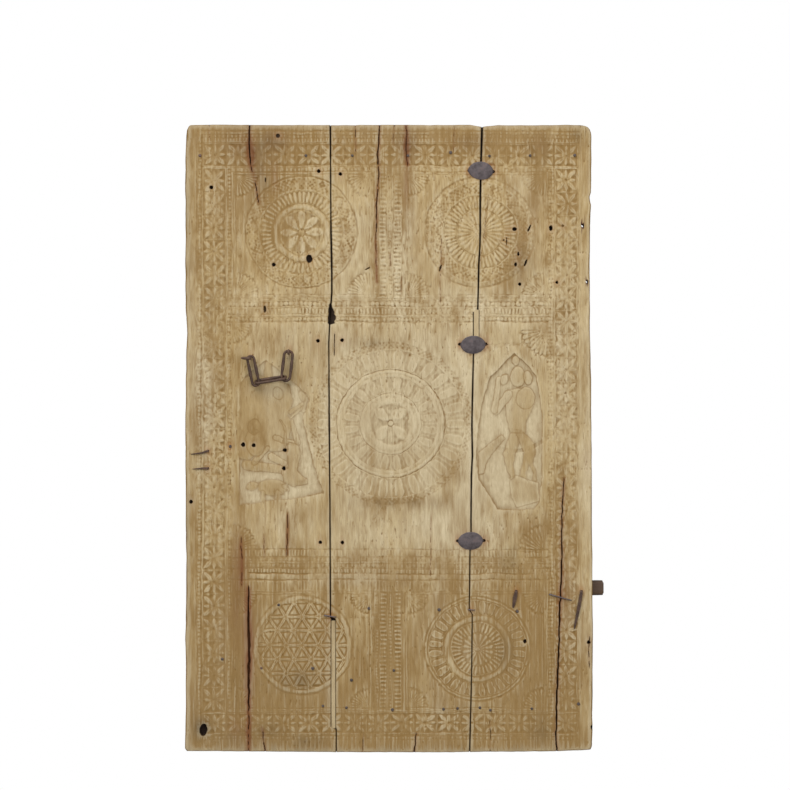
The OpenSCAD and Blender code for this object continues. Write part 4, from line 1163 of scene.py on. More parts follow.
class Nodes:
    """Short ways to add and join the nodes of a shader or of a shape."""

    def __init__(self, tree):
        self.tree = tree
        tree.nodes.clear()

    def node(self, kind, **inputs):
        """Adds a node: i2 is its third input, set_x its setting x, any other name an input's label."""
        made = self.tree.nodes.new(kind)
        for name, value in inputs.items():
            if name.startswith("set_"):
                setattr(made, name[4:], value)
            else:
                key = int(name[1:]) if name[0] == "i" and name[1:].isdigit() else name.replace("_", " ")
                self.feed(made.inputs[key], value)
        return made

    def feed(self, socket, value):
        if isinstance(value, bpy.types.NodeSocket):
            self.tree.links.new(value, socket)
        elif socket.type == "RGBA":
            socket.default_value = (*value, 1)
        else:
            socket.default_value = value

    def math(self, operation, first, second):
        return self.node("ShaderNodeMath", set_operation=operation, i0=first, i1=second).outputs[0]

    def mix(self, share, first, second):
        return self.node("ShaderNodeMix", set_data_type="RGBA", i0=share, i6=first, i7=second).outputs[2]

    def paint(self, tone, layers):
        """Lays coats of (share, strength, colour) over a colour, one after the other."""
        for share, strength, colour in layers:
            tone = self.mix(self.math("MULTIPLY", share, strength), tone, colour)
        return tone

    def ramp(self, value, low, high, to_low=0.0, to_high=1.0):
        return self.node("ShaderNodeMapRange", i0=value, i1=low, i2=high, i3=to_low, i4=to_high).outputs[0]

    def noise(self, where, scale, stretch=(1, 1, 1), detail=4.0, roughness=0.6, distortion=0.0):
        mapping = self.node("ShaderNodeMapping", Vector=where, Scale=stretch)
        made = self.node("ShaderNodeTexNoise", Vector=mapping.outputs[0], Scale=scale, Detail=detail,
                         Roughness=roughness, Distortion=distortion)
        return made.outputs[0]

    def attribute(self, name):
        made = self.node("ShaderNodeAttribute", set_attribute_name=name)
        split = self.node("ShaderNodeSeparateColor", Color=made.outputs["Color"])
        return (*split.outputs[:3], made.outputs["Alpha"])

    def surface(self, tone, rough, height, bump, **inputs):
        """The finished surface, with its small bumps."""
        bumps = self.node("ShaderNodeBump", Height=height, Strength=bump, Distance=0.0012)
        made = self.node("ShaderNodeBsdfPrincipled", Base_Color=tone, Roughness=rough,
                         Normal=bumps.outputs[0], **inputs)
        self.node("ShaderNodeOutputMaterial", Surface=made.outputs[0])


def nodes_of(holder):
    holder.use_nodes = True
    return Nodes(holder.node_tree)


def blend(first, second, share):
    return tuple(share * a + (1 - share) * b for a, b in zip(first, second))


def wood_material(name, finish, field, carved=False, darkness=0.0, along_x=False, cold=0.0):
    """Old softwood: bleached face, grime and painted shade in the hollows, painted highlights on high places,
    brown stains, dark splits.
    """
    made = bpy.data.materials.new(name)
    sh = nodes_of(made)
    deep, stain, pale = tuple(finish.hollow_colour), tuple(finish.stain_colour), tuple(finish.bleached_and_highlight_colour)
    place = sh.node("ShaderNodeTexCoord").outputs["Object"]
    fine, long, wide = (1, 1, 0.09), (1, 0.6, 0.12), (1, 1, 0.35)
    if along_x:
        fine, long, wide = (0.03, 1, 1), (0.05, 0.6, 1), (0.35, 1, 1)
    fibres = sh.noise(place, 620, fine, 5, 0.65)
    bands = sh.noise(place, 60, long, 4, 0.6, 0.5)
    broad = sh.noise(place, 7, wide, 4, 0.6)
    specks = sh.noise(place, 330, wide, 2, 0.5)
    if carved:
        # On the carved planks these layers carry grime, stains and bleaching together with painted shade and
        # painted highlight
        dirt_and_shade, brown, black, white = sh.attribute("wear")
        rust, grey, high, red = sh.attribute("marks")
    else:
        dirt_and_shade, brown = sh.ramp(bands, 0.35, 0.7, 0.2, 0.75), sh.ramp(broad, 0.4, 0.75, 0.1, 0.7)
        black, white = 0.0, 0.0
        rust, grey, high, red = 0.0, 0.35, 0.5, 0.0
    streaked = sh.math("MULTIPLY", brown, sh.ramp(bands, 0.25, 0.6, 0.8, 1.1))
    tone = sh.mix(sh.ramp(broad, 0.3, 0.7), field, tuple(0.86 * c for c in field))
    tone = sh.paint(tone, (
        (sh.ramp(bands, 0.45, 0.75), 0.16, blend(stain, field, 0.55)),
        # Bleaching, with painted highlights on raised rims and petals and painted light under the chain
        (white, 0.75, pale),
        # Hollow colour in the carving's hollows: grime and painted shade
        (sh.ramp(dirt_and_shade, 0.42, 1.0), 0.85, deep),
        # Brown stains, with painted shade along outlines and in hollows and pits
        (streaked, 0.72, stain),
        # Painted highlight on the carving's high places, with rubbed wear
        (sh.ramp(high, 0.62, 1.0), 0.35, pale),
        (grey, 0.3 + cold, linear(120, 108, 88)),
        (rust, 0.75, linear(158, 96, 48)),
        (sh.ramp(specks, 0.66, 0.78), 0.4, tuple(0.5 * c for c in deep)),
        (sh.ramp(fibres, 0.3, 0.75, 0.36, 0.0), 1.0, deep),
        (red, 0.85, linear(112, 64, 30)),
        (black, 0.97, linear(36, 24, 17)),
        (darkness, 1.0, linear(54, 43, 41)),
    ))
    height = sh.math("ADD", sh.math("MULTIPLY", fibres, 0.55), sh.math("MULTIPLY", bands, 0.45))
    sh.surface(tone, sh.ramp(bands, 0.2, 0.8, 0.72, 0.88), height, 0.55, Specular_IOR_Level=0.28)
    return made


def iron_material(name, finish, dull, bright, rust_share):
    """Hand-forged iron, gone purple-brown, with rubbed edges and rust bloom."""
    made = bpy.data.materials.new(name)
    sh = nodes_of(made)
    place = sh.node("ShaderNodeTexCoord").outputs["Object"]
    cloud = sh.noise(place, 55, detail=5, roughness=0.65)
    grit = sh.noise(place, 420, detail=4, roughness=0.7)
    edge = sh.node("ShaderNodeNewGeometry").outputs["Pointiness"]
    tone = sh.mix(sh.ramp(cloud, 0.35, 0.65), dull, blend(dull, bright, 0.55))
    tone = sh.paint(tone, (
        (sh.ramp(edge, 0.52, 0.6), 0.6, bright),
        (sh.ramp(grit, 0.58, 0.72), 0.35, bright),
        (sh.ramp(cloud, 0.56, 0.7), rust_share, tuple(finish.rust_colour)),
    ))
    height = sh.math("ADD", sh.math("MULTIPLY", cloud, 0.7), sh.math("MULTIPLY", grit, 0.3))
    sh.surface(tone, sh.ramp(grit, 0.3, 0.7, 0.5, 0.72), height, 0.6, Metallic=0.3)
    return made


BATTEN_GRAIN = {"along_x": True, "cold": 0.2}
LOOKS = {
    # name: (maker, its main colours, its other settings); the carved face takes its colour from the settings
    "carved wood": (wood_material, (), {"carved": True}),
    "strip wood": (wood_material, (linear(206, 186, 146),), {}),
    "batten wood": (wood_material, (linear(168, 146, 108),), {"darkness": 0.1, **BATTEN_GRAIN}),
    "dark batten wood": (wood_material, (linear(120, 98, 88),), {"darkness": 0.55, **BATTEN_GRAIN}),
    "forged iron": (iron_material, (linear(62, 53, 53), linear(122, 112, 114)), {"rust_share": 0.2}),
    "chain iron": (iron_material, (linear(62, 43, 32), linear(108, 84, 68)), {"rust_share": 0.3}),
    "nail iron": (iron_material, (linear(54, 43, 38), linear(128, 116, 110)), {"rust_share": 0.6}),
}
MATERIALS = {}


def material(name):
    """Materials are made once, when the first piece needs them."""
    if name not in MATERIALS:
        finish = bpy.context.scene.finish_settings
        maker, colours, others = LOOKS[name]
        MATERIALS[name] = maker(name, finish, *(colours or (tuple(finish.face_colour),)), **others)
    return MATERIALS[name]


def finish_piece(obj, node, body, look):
    """Gives a piece its material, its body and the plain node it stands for."""
    obj.data.materials.clear()
    obj.data.materials.append(material(look))
    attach(obj, body)
    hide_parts(node)


# ---------------------------------------------------------------- bars, beams and plates


def rounded_section(half_a, half_b, radius, count):
    """Points round a rectangle with rounded corners, evenly spaced."""
    radius = min(radius, half_a * 0.999, half_b * 0.999)
    outline = []
    for turn, (ca, cb) in enumerate(((1, 1), (-1, 1), (-1, -1), (1, -1))):
        for step in range(7):
            angle = math.radians(90 * turn + 15 * step)
            outline.append((ca * (half_a - radius) + radius * math.cos(angle),
                            cb * (half_b - radius) + radius * math.sin(angle)))
    closed = np.array(outline + outline[:1])
    lengths = np.concatenate(([0], np.cumsum(np.hypot(*np.diff(closed, axis=0).T))))
    wanted = np.linspace(0, lengths[-1], count, endpoint=False)
    return np.column_stack([np.interp(wanted, lengths, closed[:, k]) for k in (0, 1)])


def swept(path, sections, normal, closed=False):
    """Points and faces of a bar along a path; each section holds (side, up) pairs in the bar's own axes."""
    path = np.array(path, float)
    count, around = len(path), len(sections[0])
    if closed:
        along_path = np.roll(path, -1, axis=0) - np.roll(path, 1, axis=0)
    else:
        along_path = np.gradient(path, axis=0)
    points = []
    for spot, direction, section in zip(path, along_path, sections):
        forward = Vector(direction).normalized()
        side = forward.cross(Vector(normal)).normalized()
        up = side.cross(forward).normalized()
        points.extend(Vector(spot) + side * float(a) + up * float(b) for a, b in section)
    faces = []
    for i in range(count if closed else count - 1):
        j = (i + 1) % count
        for k in range(around):
            n = (k + 1) % around
            faces.append((i * around + k, i * around + n, j * around + n, j * around + k))
    if not closed:
        for i, order in ((0, -1), (count - 1, 1)):
            centre = len(points)
            points.append(Vector(path[i]))
            ring_points = [i * around + k for k in range(around)]
            for k in range(around):
                pair = (ring_points[k], ring_points[(k + 1) % around])[::order]
                faces.append((pair[0], pair[1], centre))
    return points, faces


def joined(name, parts, smooth_angle=50):
    """One mesh object, in metres, from several lists of points and faces in millimetres, facing outwards."""
    points, faces = [], []
    for part_points, part_faces in parts:
        first = len(points)
        points.extend(Vector(p) * MM for p in part_points)
        faces.extend(tuple(first + i for i in face) for face in part_faces)
    obj = mesh_object(name, points, faces)
    work = bmesh.new()
    work.from_mesh(obj.data)
    bmesh.ops.remove_doubles(work, verts=work.verts, dist=1e-6)
    bmesh.ops.recalc_face_normals(work, faces=work.faces)
    work.to_mesh(obj.data)
    work.free()
    smooth_shade(obj.data, smooth_angle)
    return obj


def beam(first, last, half_y, half_z, radius, seed, step=7.0, chew=1.0, end=(0.0015, 0.93, 0.985)):
    """A worn beam along X between two (x, y, z) middles, in millimetres."""
    length = last[0] - first[0]
    count = max(8, int(length / step))
    where = np.linspace(0, 1, count)
    where = np.concatenate(([0, 0, end[0]], where[1:-1], [1 - end[0], 1, 1]))
    base = rounded_section(half_y, half_z, radius, 64)
    path, sections = [], []
    for number, share in enumerate(where):
        x = first[0] + share * length
        from_end = min(number, len(where) - 1 - number)
        scale = (0.0, *end[1:])[from_end] if from_end < 3 else 1.0
        angle = np.arctan2(base[:, 1], base[:, 0])
        bumps = noise(np.full(64, x), angle * 30 + 100, 60, 12, seed) - 0.5
        bumps += 0.6 * (noise(np.full(64, x), angle * 60 + 200, 14, 9, seed + 1) - 0.5)
        factor = 1 - chew * abs(bumps[:, None]) * 1.5 / np.hypot(base[:, 0], base[:, 1])[:, None]
        path.append((x, first[1] + share * (last[1] - first[1]), first[2] + share * (last[2] - first[2])))
        sections.append(base * factor * scale if scale else base * 0.9 * end[1])
    path[0] = (path[1][0] - 0.01, *path[1][1:])
    path[-1] = (path[-2][0] + 0.01, *path[-2][1:])
    return swept(path, sections, (0, 0, 1))


def forged_bar(path, sizes, seed, roundness=0.45, count=16, closed=False, normal=(0, 1, 0), rough=0.07):
    """A hammered bar; sizes are (half width, half thickness) at each point of the path."""
    sections = []
    rng = np.random.default_rng(seed)
    for half_a, half_b in sizes:
        base = rounded_section(half_a, half_b, 2 * roundness * min(half_a, half_b), count)
        sections.append(base * (1 - rough * rng.random((count, 1))))
    return swept(path, sections, normal, closed)


def even_points(path, step):
    """A path with points at an even spacing."""
    path = np.array(path, float)
    lengths = np.concatenate(([0], np.cumsum(np.linalg.norm(np.diff(path, axis=0), axis=1))))
    count = max(3, int(lengths[-1] / step) + 1)
    wanted = np.linspace(0, lengths[-1], count)
    return np.column_stack([np.interp(wanted, lengths, path[:, k]) for k in range(3)]), wanted / lengths[-1]


def disc_head(centre, radius, rise, seed):
    """A hammered round head whose top rises towards +Y."""
    points, faces = [], []
    rng = np.random.default_rng(seed)
    levels = ((1.0, 0.0), (1.0, 0.35), (0.86, 0.7), (0.55, 0.95), (0.2, 1.05))
    around = 20
    for share, up in levels:
        for k in range(around):
            angle = 2 * math.pi * k / around
            wobble = 1 - 0.06 * rng.random()
            points.append((centre[0] + radius * share * wobble * math.cos(angle), centre[1] + rise * up,
                           centre[2] + radius * share * wobble * math.sin(angle)))
    for level in range(len(levels) - 1):
        for k in range(around):
            n = (k + 1) % around
            low, high = level * around, (level + 1) * around
            faces.append((low + k, low + n, high + n, high + k))
    faces.append(tuple(range(around)))
    faces.append(tuple(range((len(levels) - 1) * around, len(levels) * around)))
    return points, faces


# ---------------------------------------------------------------- ironwork

# Millimetres and degrees. Each hook: place, height, the lean of its link and the link's width
HOOKS = {"left": (-400, 1141.1, 12, 27.6), "right": (-290, 1156.1, -7, 33.0)}
CHAIN_Y = -39.5
WIRE_R = 4.2
LINK_REACH = 86.6
# How far a link's top rises above its hook, and where down the link the middle one crosses it
TOP_RISE = 7.1
CROSS = 76.7
MIDDLE_WIDTH = 30.4
MIDDLE_ROLL = 22


def on_hanging_link(side, down):
    x, z, lean, _ = HOOKS[side]
    turn = math.radians(lean)
    return x + (down - TOP_RISE) * math.sin(turn), z - (down - TOP_RISE) * math.cos(turn)


def stadium(reach, outer_width):
    """Centre line of a closed link that hangs down from its top wire, as (across, down)."""
    side = outer_width / 2 - WIRE_R
    leg = reach - 2 * side
    steps = int(leg / 3.0)
    line = [(side * math.cos(a), side - side * math.sin(a)) for a in np.linspace(math.pi, 0, 15)]
    line += [(side, side + leg * k / steps) for k in range(1, steps)]
    line += [(side * math.cos(a), reach - side + side * math.sin(a)) for a in np.linspace(0, math.pi, 15)]
    line += [(-side, reach - side - leg * k / steps) for k in range(1, steps)]
    return line


def link_object(name, place, normal, reach, width, seed):
    """A forged link; place turns (across, down) into a point in millimetres."""
    line = stadium(reach, width)
    path = [place(across, down) for across, down in line]
    rng = np.random.default_rng(seed)
    soft = np.convolve(np.tile(rng.random(len(path)), 3), np.ones(5) / 5, "same")[len(path):2 * len(path)]
    sizes = []
    for value, (_, down) in zip(soft, line):
        leg = smooth_step(24, 34, min(down, reach - down))
        sizes.append(((WIRE_R + 0.9 * leg) * (0.9 + 0.1 * value), WIRE_R * (0.99 - 0.08 * value)))
    return joined(name, [forged_bar(path, sizes, seed + 1, 0.8, 18, True, normal, 0.04)], 60)


def bent_spike(name, root, tip, kink, root_width, mid_width, tip_width, thick, head_y, seed):
    """A spike driven from the back, with its point hammered flat over the face."""
    x0, z0 = root
    length = math.hypot(tip[0] - x0, tip[1] - z0)
    ux, uz = (tip[0] - x0) / length, (tip[1] - z0) / length
    out = FACE_Y - thick / 2 - 0.3
    # Along the face, aside from the straight line, and the height
    route = (
        (-2.0, 0, FACE_Y + 3.0), (-1.2, 0, FACE_Y + 0.4), (1.5, 0, out - 0.9),
        (0.35 * length, kink, out - 0.5), (0.7 * length, 0.6 * kink, out), (length, 0, FACE_Y - 0.4),
    )
    points = [(x0 + run * ux - aside * uz, y, z0 + run * uz + aside * ux) for run, aside, y in route]
    path, share = even_points(points, 2.2)
    wide = ((0, root_width * 0.8), (0.12, root_width), (0.5, mid_width), (0.9, tip_width), (1, tip_width / 2))
    widths = along(wide, share)
    thicks = along(((0, thick), (0.15, thick), (0.8, thick * 0.75), (1, thick * 0.4)), share)
    rng = np.random.default_rng(seed)
    lumps = 1 + 0.16 * (np.convolve(rng.random(len(share) + 4), np.ones(5) / 5, "valid") - 0.5)
    bent = forged_bar(path, list(zip(widths / 2 * lumps, thicks / 2)), seed, 0.35, 16, normal=(0, -1, 0))
    shank = forged_bar([(x0, y, z0) for y in (FACE_Y + 2, 10, head_y)], [(2.5, 2.5)] * 3, seed + 1, 0.5, 12,
                       normal=(0, 0, 1))
    return joined(name, [bent, shank, disc_head((x0, head_y, z0), 8, 2.4, seed + 2)])


def hook_spike(name, x0, z0, crown, arm, turn, seed):
    """A spike that passes through its link's top and ends in a hooked arm."""
    angle = math.radians(turn)
    ux, uz = math.cos(angle), math.sin(angle)
    tip_y = CHAIN_Y - crown
    bend = 5
    points = [(x0, y, z0) for y in (BACK_Y, 0, FACE_Y, tip_y + bend)]
    straight = math.dist(points[3], points[0])
    for a in np.linspace(0.26, math.pi / 2, 6):
        run = bend * (1 - math.cos(a))
        points.append((x0 + run * ux, tip_y + bend - bend * math.sin(a), z0 + run * uz))
    points.append((x0 + arm * ux, tip_y + 0.15 * arm, z0 + arm * uz))
    path, share = even_points(points, 1.6)
    bare = straight / (straight + 8 + arm)
    widths = along(((0, 2.55), (bare, 2.5), (bare + 0.04, 4.2), (0.9, 4.4), (0.97, 3.4), (1, 1.6)), share)
    bar = forged_bar(path, [(w, w) for w in widths], seed, 0.6, 12, normal=(-uz, 0.001, ux), rough=0.05)
    return joined(name, [bar, disc_head((x0, BACK_Y, z0), 8, 4, seed + 2)])


def clamp_plate(name, x0, z0, z_tilt, seed):
    """A lemon-shaped plate with hammered face, its two points driven into the wood."""
    half_length, half_height = 37.4, 25.2
    u, v = np.meshgrid(np.linspace(-1, 1, 65), np.linspace(-1, 1, 35))
    half = half_height * np.clip(1 - abs(u) ** 2.35, 0, 1) ** 0.72 + 0.7
    half *= 0.965 + 0.05 * noise(u * 30, np.sign(v) * 50, 6, 10, seed)
    x = half_length * u
    z = half * v + z_tilt * u
    dome = (1 - v**2) ** 0.55 * (1 - abs(u) ** 4) ** 0.5
    hammer = noise(x, z, 8, 8, seed + 1) - 0.5 + 0.5 * (noise(x, z, 3.5, 3.5, seed + 2) - 0.5)
    y = FACE_Y - 0.8 - 2.6 * dome - 0.55 * hammer * dome + 2.6 * smooth_step(0.86, 1.0, abs(u))
    top = np.column_stack((x0 + x.ravel(), y.ravel(), z0 + z.ravel()))
    bottom = np.column_stack((top[:, 0], np.full(x.size, FACE_Y + 2.4), top[:, 2]))
    grid = np.arange(x.size).reshape(x.shape)
    cells, edge = grid_quads(grid), grid_rim(grid)
    after = np.roll(edge, -1)
    rim = np.column_stack((edge, edge + x.size, after + x.size, after))
    faces = np.concatenate((cells, cells[:, ::-1] + x.size, rim)).tolist()
    parts = [(np.concatenate((top, bottom)).tolist(), faces)]
    for side in (-1, 1):
        x1 = x0 + 30.5 * side
        spike = [(x1, y1, z0) for y1 in (FACE_Y + 1, -10, 5)]
        sizes = [(radius, radius) for radius in (2.9, 2.7, 1.4)]
        parts.append(forged_bar(spike, sizes, seed + 3, 0.5, 12, normal=(0, 0, 1)))
    return joined(name, parts, 45)


def staple_object(name, root, end, root_width, end_width, thick, leg, seed, nose):
    """A bar across a split, with a leg in the wood at each end."""
    (x0, z0), (x1, z1) = root, end
    run_x, run_z = x1 - x0, z1 - z0
    out = FACE_Y - thick / 2
    points = [
        (x0, FACE_Y + leg, z0), (x0, FACE_Y + 2, z0), (x0 + 1, out - nose, z0),
        (x0 + 0.3 * run_x, out - 0.6, z0 + 0.3 * run_z), (x0 + 0.85 * run_x, out, z0 + 0.85 * run_z),
        (x1, FACE_Y + 1.5, z1), (x1 + 0.3, FACE_Y + leg, z1),
    ]
    path, share = even_points(points, 1.8)
    total = sum(math.dist(a, b) for a, b in zip(points, points[1:]))
    first, last = (leg + 1) / total, 1 - (leg + 1) / total
    wide = ((0, 1.2), (first * 0.8, root_width * 0.7), (first, root_width), (last, end_width), (1, 1.0))
    widths = along(wide, share)
    thicks = along(((0, 1.2), (first, thick), (last, thick * 0.7), (1, 1.0)), share)
    sizes = list(zip(widths / 2, thicks / 2))
    bar = forged_bar(path, sizes, seed, 0.4, 12, normal=(0.02, 0.05, 1), rough=0.12)
    return joined(name, [bar])


def nail_places(node):
    """Middle of each nail head of a CAD node, in metres."""
    low_y = (FACE_Y + 0.2) * MM
    found = []
    nearer = 0.012
    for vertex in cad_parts[node].data.vertices:
        x, y, z = vertex.co
        if y < low_y:
            for group in found:
                if math.dist((x, z), group[0]) < nearer:
                    group.append((x, z))
                    break
            else:
                found.append([(x, z)])
    return [tuple(sum(p[k] for p in group) / len(group) for k in (0, 1)) for group in found]


def nail_tree():
    """Geometry Nodes: a hammered head and a shank on every point, each turned and sized a little."""
    tree = bpy.data.node_groups.new("Forged nails", "GeometryNodeTree")
    for label, way, kind in (
        ("Geometry", "INPUT", "Geometry"), ("Head radius", "INPUT", "Float"), ("Head rise", "INPUT", "Float"),
        ("Shank length", "INPUT", "Float"), ("Seed", "INPUT", "Int"), ("Iron", "INPUT", "Material"),
        ("Geometry", "OUTPUT", "Geometry"),
    ):
        tree.interface.new_socket(label, in_out=way, socket_type="NodeSocket" + kind)
    gn = Nodes(tree)
    given = gn.node("NodeGroupInput").outputs
    # The head: a ball with an uneven skin, pressed flat
    ball = gn.node("GeometryNodeMeshIcoSphere", Radius=1, Subdivisions=4)
    lumps = gn.ramp(gn.node("ShaderNodeTexNoise", Scale=1.6).outputs[0], 0, 1, 0.72, 1.16)
    where = gn.node("GeometryNodeInputPosition").outputs[0]
    grown = gn.node("ShaderNodeVectorMath", set_operation="SCALE", i0=where, Scale=lumps)
    hammered = gn.node("GeometryNodeSetPosition", Geometry=ball.outputs[0], Position=grown.outputs[0])
    radius = given["Head radius"]
    flat = gn.node("ShaderNodeCombineXYZ", i0=radius, i1=given["Head rise"], i2=radius)
    head = gn.node("GeometryNodeTransform", Geometry=hammered.outputs[0], Scale=flat.outputs[0])
    # The shank: a cone laid along Y
    cone = gn.node("GeometryNodeMeshCone", Vertices=10, Radius_Top=0.0008, Radius_Bottom=0.0021,
                   Depth=given["Shank length"])
    shank = gn.node("GeometryNodeTransform", Geometry=cone.outputs[0], Rotation=(-math.pi / 2, 0, 0))
    both = gn.node("GeometryNodeJoinGeometry", Geometry=head.outputs[0])
    gn.feed(both.inputs[0], shank.outputs[0])
    turn = gn.node("FunctionNodeRandomValue", set_data_type="FLOAT_VECTOR",
                   i0=(-0.06, 0, -0.06), i1=(0.06, 6.28, 0.06), Seed=given["Seed"])
    size = gn.node("FunctionNodeRandomValue", set_data_type="FLOAT", i2=0.85, i3=1.08, Seed=given["Seed"])
    nails = gn.node("GeometryNodeInstanceOnPoints", Points=given["Geometry"], Instance=both.outputs[0],
                    Rotation=turn.outputs[0], Scale=size.outputs[1])
    real = gn.node("GeometryNodeRealizeInstances", Geometry=nails.outputs[0])
    iron = gn.node("GeometryNodeSetMaterial", Geometry=real.outputs[0], Material=given["Iron"])
    gn.node("NodeGroupOutput", i0=iron.outputs[0])
    return tree


def nails_object(name, node, shank, seed):
    """The nails of one batten, made with the nail tree and turned into a plain mesh."""
    tree = bpy.data.node_groups.get("Forged nails") or nail_tree()
    values = {"Head radius": 0.0046, "Head rise": 0.0018, "Shank length": shank * MM, "Seed": seed,
              "Iron": material("nail iron")}
    inputs = {item.identifier: values[item.name] for item in tree.interface.items_tree if item.name in values}
    spots = mesh_object("nail points", [(x, (FACE_Y - 0.1) * MM, z) for x, z in nail_places(node)], [])
    mesh = applied(spots, "NODES", inputs, node_group=tree)
    mesh.name = name
    smooth_shade(mesh, 55)
    return placed(name, mesh)


# ---------------------------------------------------------------- settings, pieces and panel


def colour_property(name, description, colour):
    return bpy.props.FloatVectorProperty(
        name=name, description=description, default=linear(*colour), subtype="COLOR", min=0, max=1)


class FinishSettings(bpy.types.PropertyGroup):
    face_colour: colour_property("Face", "Carved wood that is neither stained nor bleached", (193, 168, 120))
    # The hollow colour also paints shade into the carving's hollows; the colour of stains paints shade along
    # outlines and in hollows and pits
    hollow_colour: colour_property("Hollows", "Dirt in the hollows of the carving and grain", (110, 81, 38))
    stain_colour: colour_property("Stains", "Brown stains on the wood", (130, 98, 48))
    # The bleached colour also paints highlights on high places and light under the chain
    bleached_and_highlight_colour: colour_property("Bleached wood", "Bleached wood and rubbed high places", (216, 202, 169))
    rust_colour: colour_property("Rust", "Rust bloom on the ironwork", (112, 66, 38))


class LeafSettings(bpy.types.PropertyGroup):
    plank_triangles: bpy.props.IntProperty(
        name="Triangles per plank", description="Most triangles in one carved plank",
        default=PLANK_TRIANGLES, min=20000)
    smooth_angle: bpy.props.FloatProperty(
        name="Smooth angle", description="Edges sharper than this stay crisp",
        default=math.radians(55), subtype="ANGLE")


class NailSettings(bpy.types.PropertyGroup):
    shank: bpy.props.FloatProperty(
        name="Shank length", description="Length of a batten nail in millimetres", default=66, min=20)
    seed: bpy.props.IntProperty(name="Seed", description="Which way each nail is turned", default=7, min=0)


class StageSettings(bpy.types.PropertyGroup):
    key_power: bpy.props.FloatProperty(
        name="Key light", description="Power of the main soft light in watts", default=1800)
    fill_power: bpy.props.FloatProperty(
        name="Fill light", description="Power of the weaker side light in watts", default=420)
    sky: bpy.props.FloatProperty(name="Sky", description="Strength of the light from all round", default=0.46)
    distance: bpy.props.FloatProperty(
        name="Camera distance", description="From the carved face to the camera", default=6.36, unit="LENGTH")


class DOORLEAF_OT_planks(bpy.types.Operator):
    """Builds the three carved planks"""

    bl_idname = "doorleaf.planks"
    bl_label = "Planks"

    def execute(self, context):
        settings = context.scene.leaf_settings
        for index, name in enumerate(("plank_left", "plank_centre", "plank_right")):
            limit = settings.plank_triangles
            mesh = thinned(plank_mesh(index, name), limit)
            if name == "plank_right":
                mesh = pierced(mesh, SIGHT_HOLES)
            mesh.name = "carved " + name
            smooth_shade(mesh, math.degrees(settings.smooth_angle))
            finish_piece(placed("carved_" + name, mesh), name, LEAF, "carved wood")
        return {"FINISHED"}


class DOORLEAF_OT_strips(bpy.types.Operator):
    """Builds the two narrow strips let into the joints"""

    bl_idname = "doorleaf.strips"
    bl_label = "Repair strips"

    def execute(self, context):
        half_y, middle_y, around = 22.2, 0.4, 44
        for name, strip, seed in (("repair_strip_upper", STRIP_B, 31), ("repair_strip_lower", STRIP_A, 32)):
            half_x = (strip["right"] - strip["left"]) / 2
            x = (strip["right"] + strip["left"]) / 2
            heights = np.arange(strip["low"], strip["high"] + 0.1, 6)
            base = rounded_section(half_x, half_y, 1.4, around)
            rng = np.random.default_rng(seed)
            sections = [base * (1 - 0.012 * rng.random((around, 1))) for _ in heights]
            bar = swept([(x, middle_y, z) for z in heights], sections, (0, 1, 0))
            finish_piece(joined("worn_" + name, [bar]), name, LEAF, "strip wood")
        return {"FINISHED"}


class DOORLEAF_OT_battens(bpy.types.Operator):
    """Builds the three battens on the back, one with its worn end past the edge"""

    bl_idname = "doorleaf.battens"
    bl_label = "Battens"

    def execute(self, context):
        middle = (BACK_Y + BATTEN_BACK_Y) / 2
        half_y = (BATTEN_BACK_Y - BACK_Y) / 2
        for name, z, half_z, slot, look, seed in (
            ("batten_top", 1730, 45, "batten_wood", "batten wood", 41),
            ("batten_lower", 447.7, 47.5, "dark_batten_wood", "dark batten wood", 43),
            ("batten_bottom", 194.7, 95, "batten_wood", "batten wood", 45),
        ):
            parts = [beam((-565, middle, z), (565, middle, z), half_y, half_z, 5, seed)]
            if name == "batten_lower":
                stub = (548, middle, 471.7), (627, middle, 471.9)
                parts.append(beam(*stub, half_y - 0.6, 21.4, 9, seed + 2, 2.5, 1.2, (0.06, 0.74, 0.94)))
            finish_piece(joined("worn_" + name, parts), name, LEAF, look)
        return {"FINISHED"}


class DOORLEAF_OT_clamps(bpy.types.Operator):
    """Builds the three iron clamps over the right joint"""

    bl_idname = "doorleaf.clamps"
    bl_label = "Joint clamps"

    def execute(self, context):
        places = (("joint_clamp_upper", -1.4), ("joint_clamp_middle", 1.0), ("joint_clamp_lower", 0.6))
        for number, ((name, tilt), (_, z)) in enumerate(zip(places, CLAMPS)):
            low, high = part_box(name)
            plate = clamp_plate("forged_" + name, (low.x + high.x) / 2 / MM, z, tilt, 201 + 5 * number)
            finish_piece(plate, name, LEAF, "forged iron")
        return {"FINISHED"}


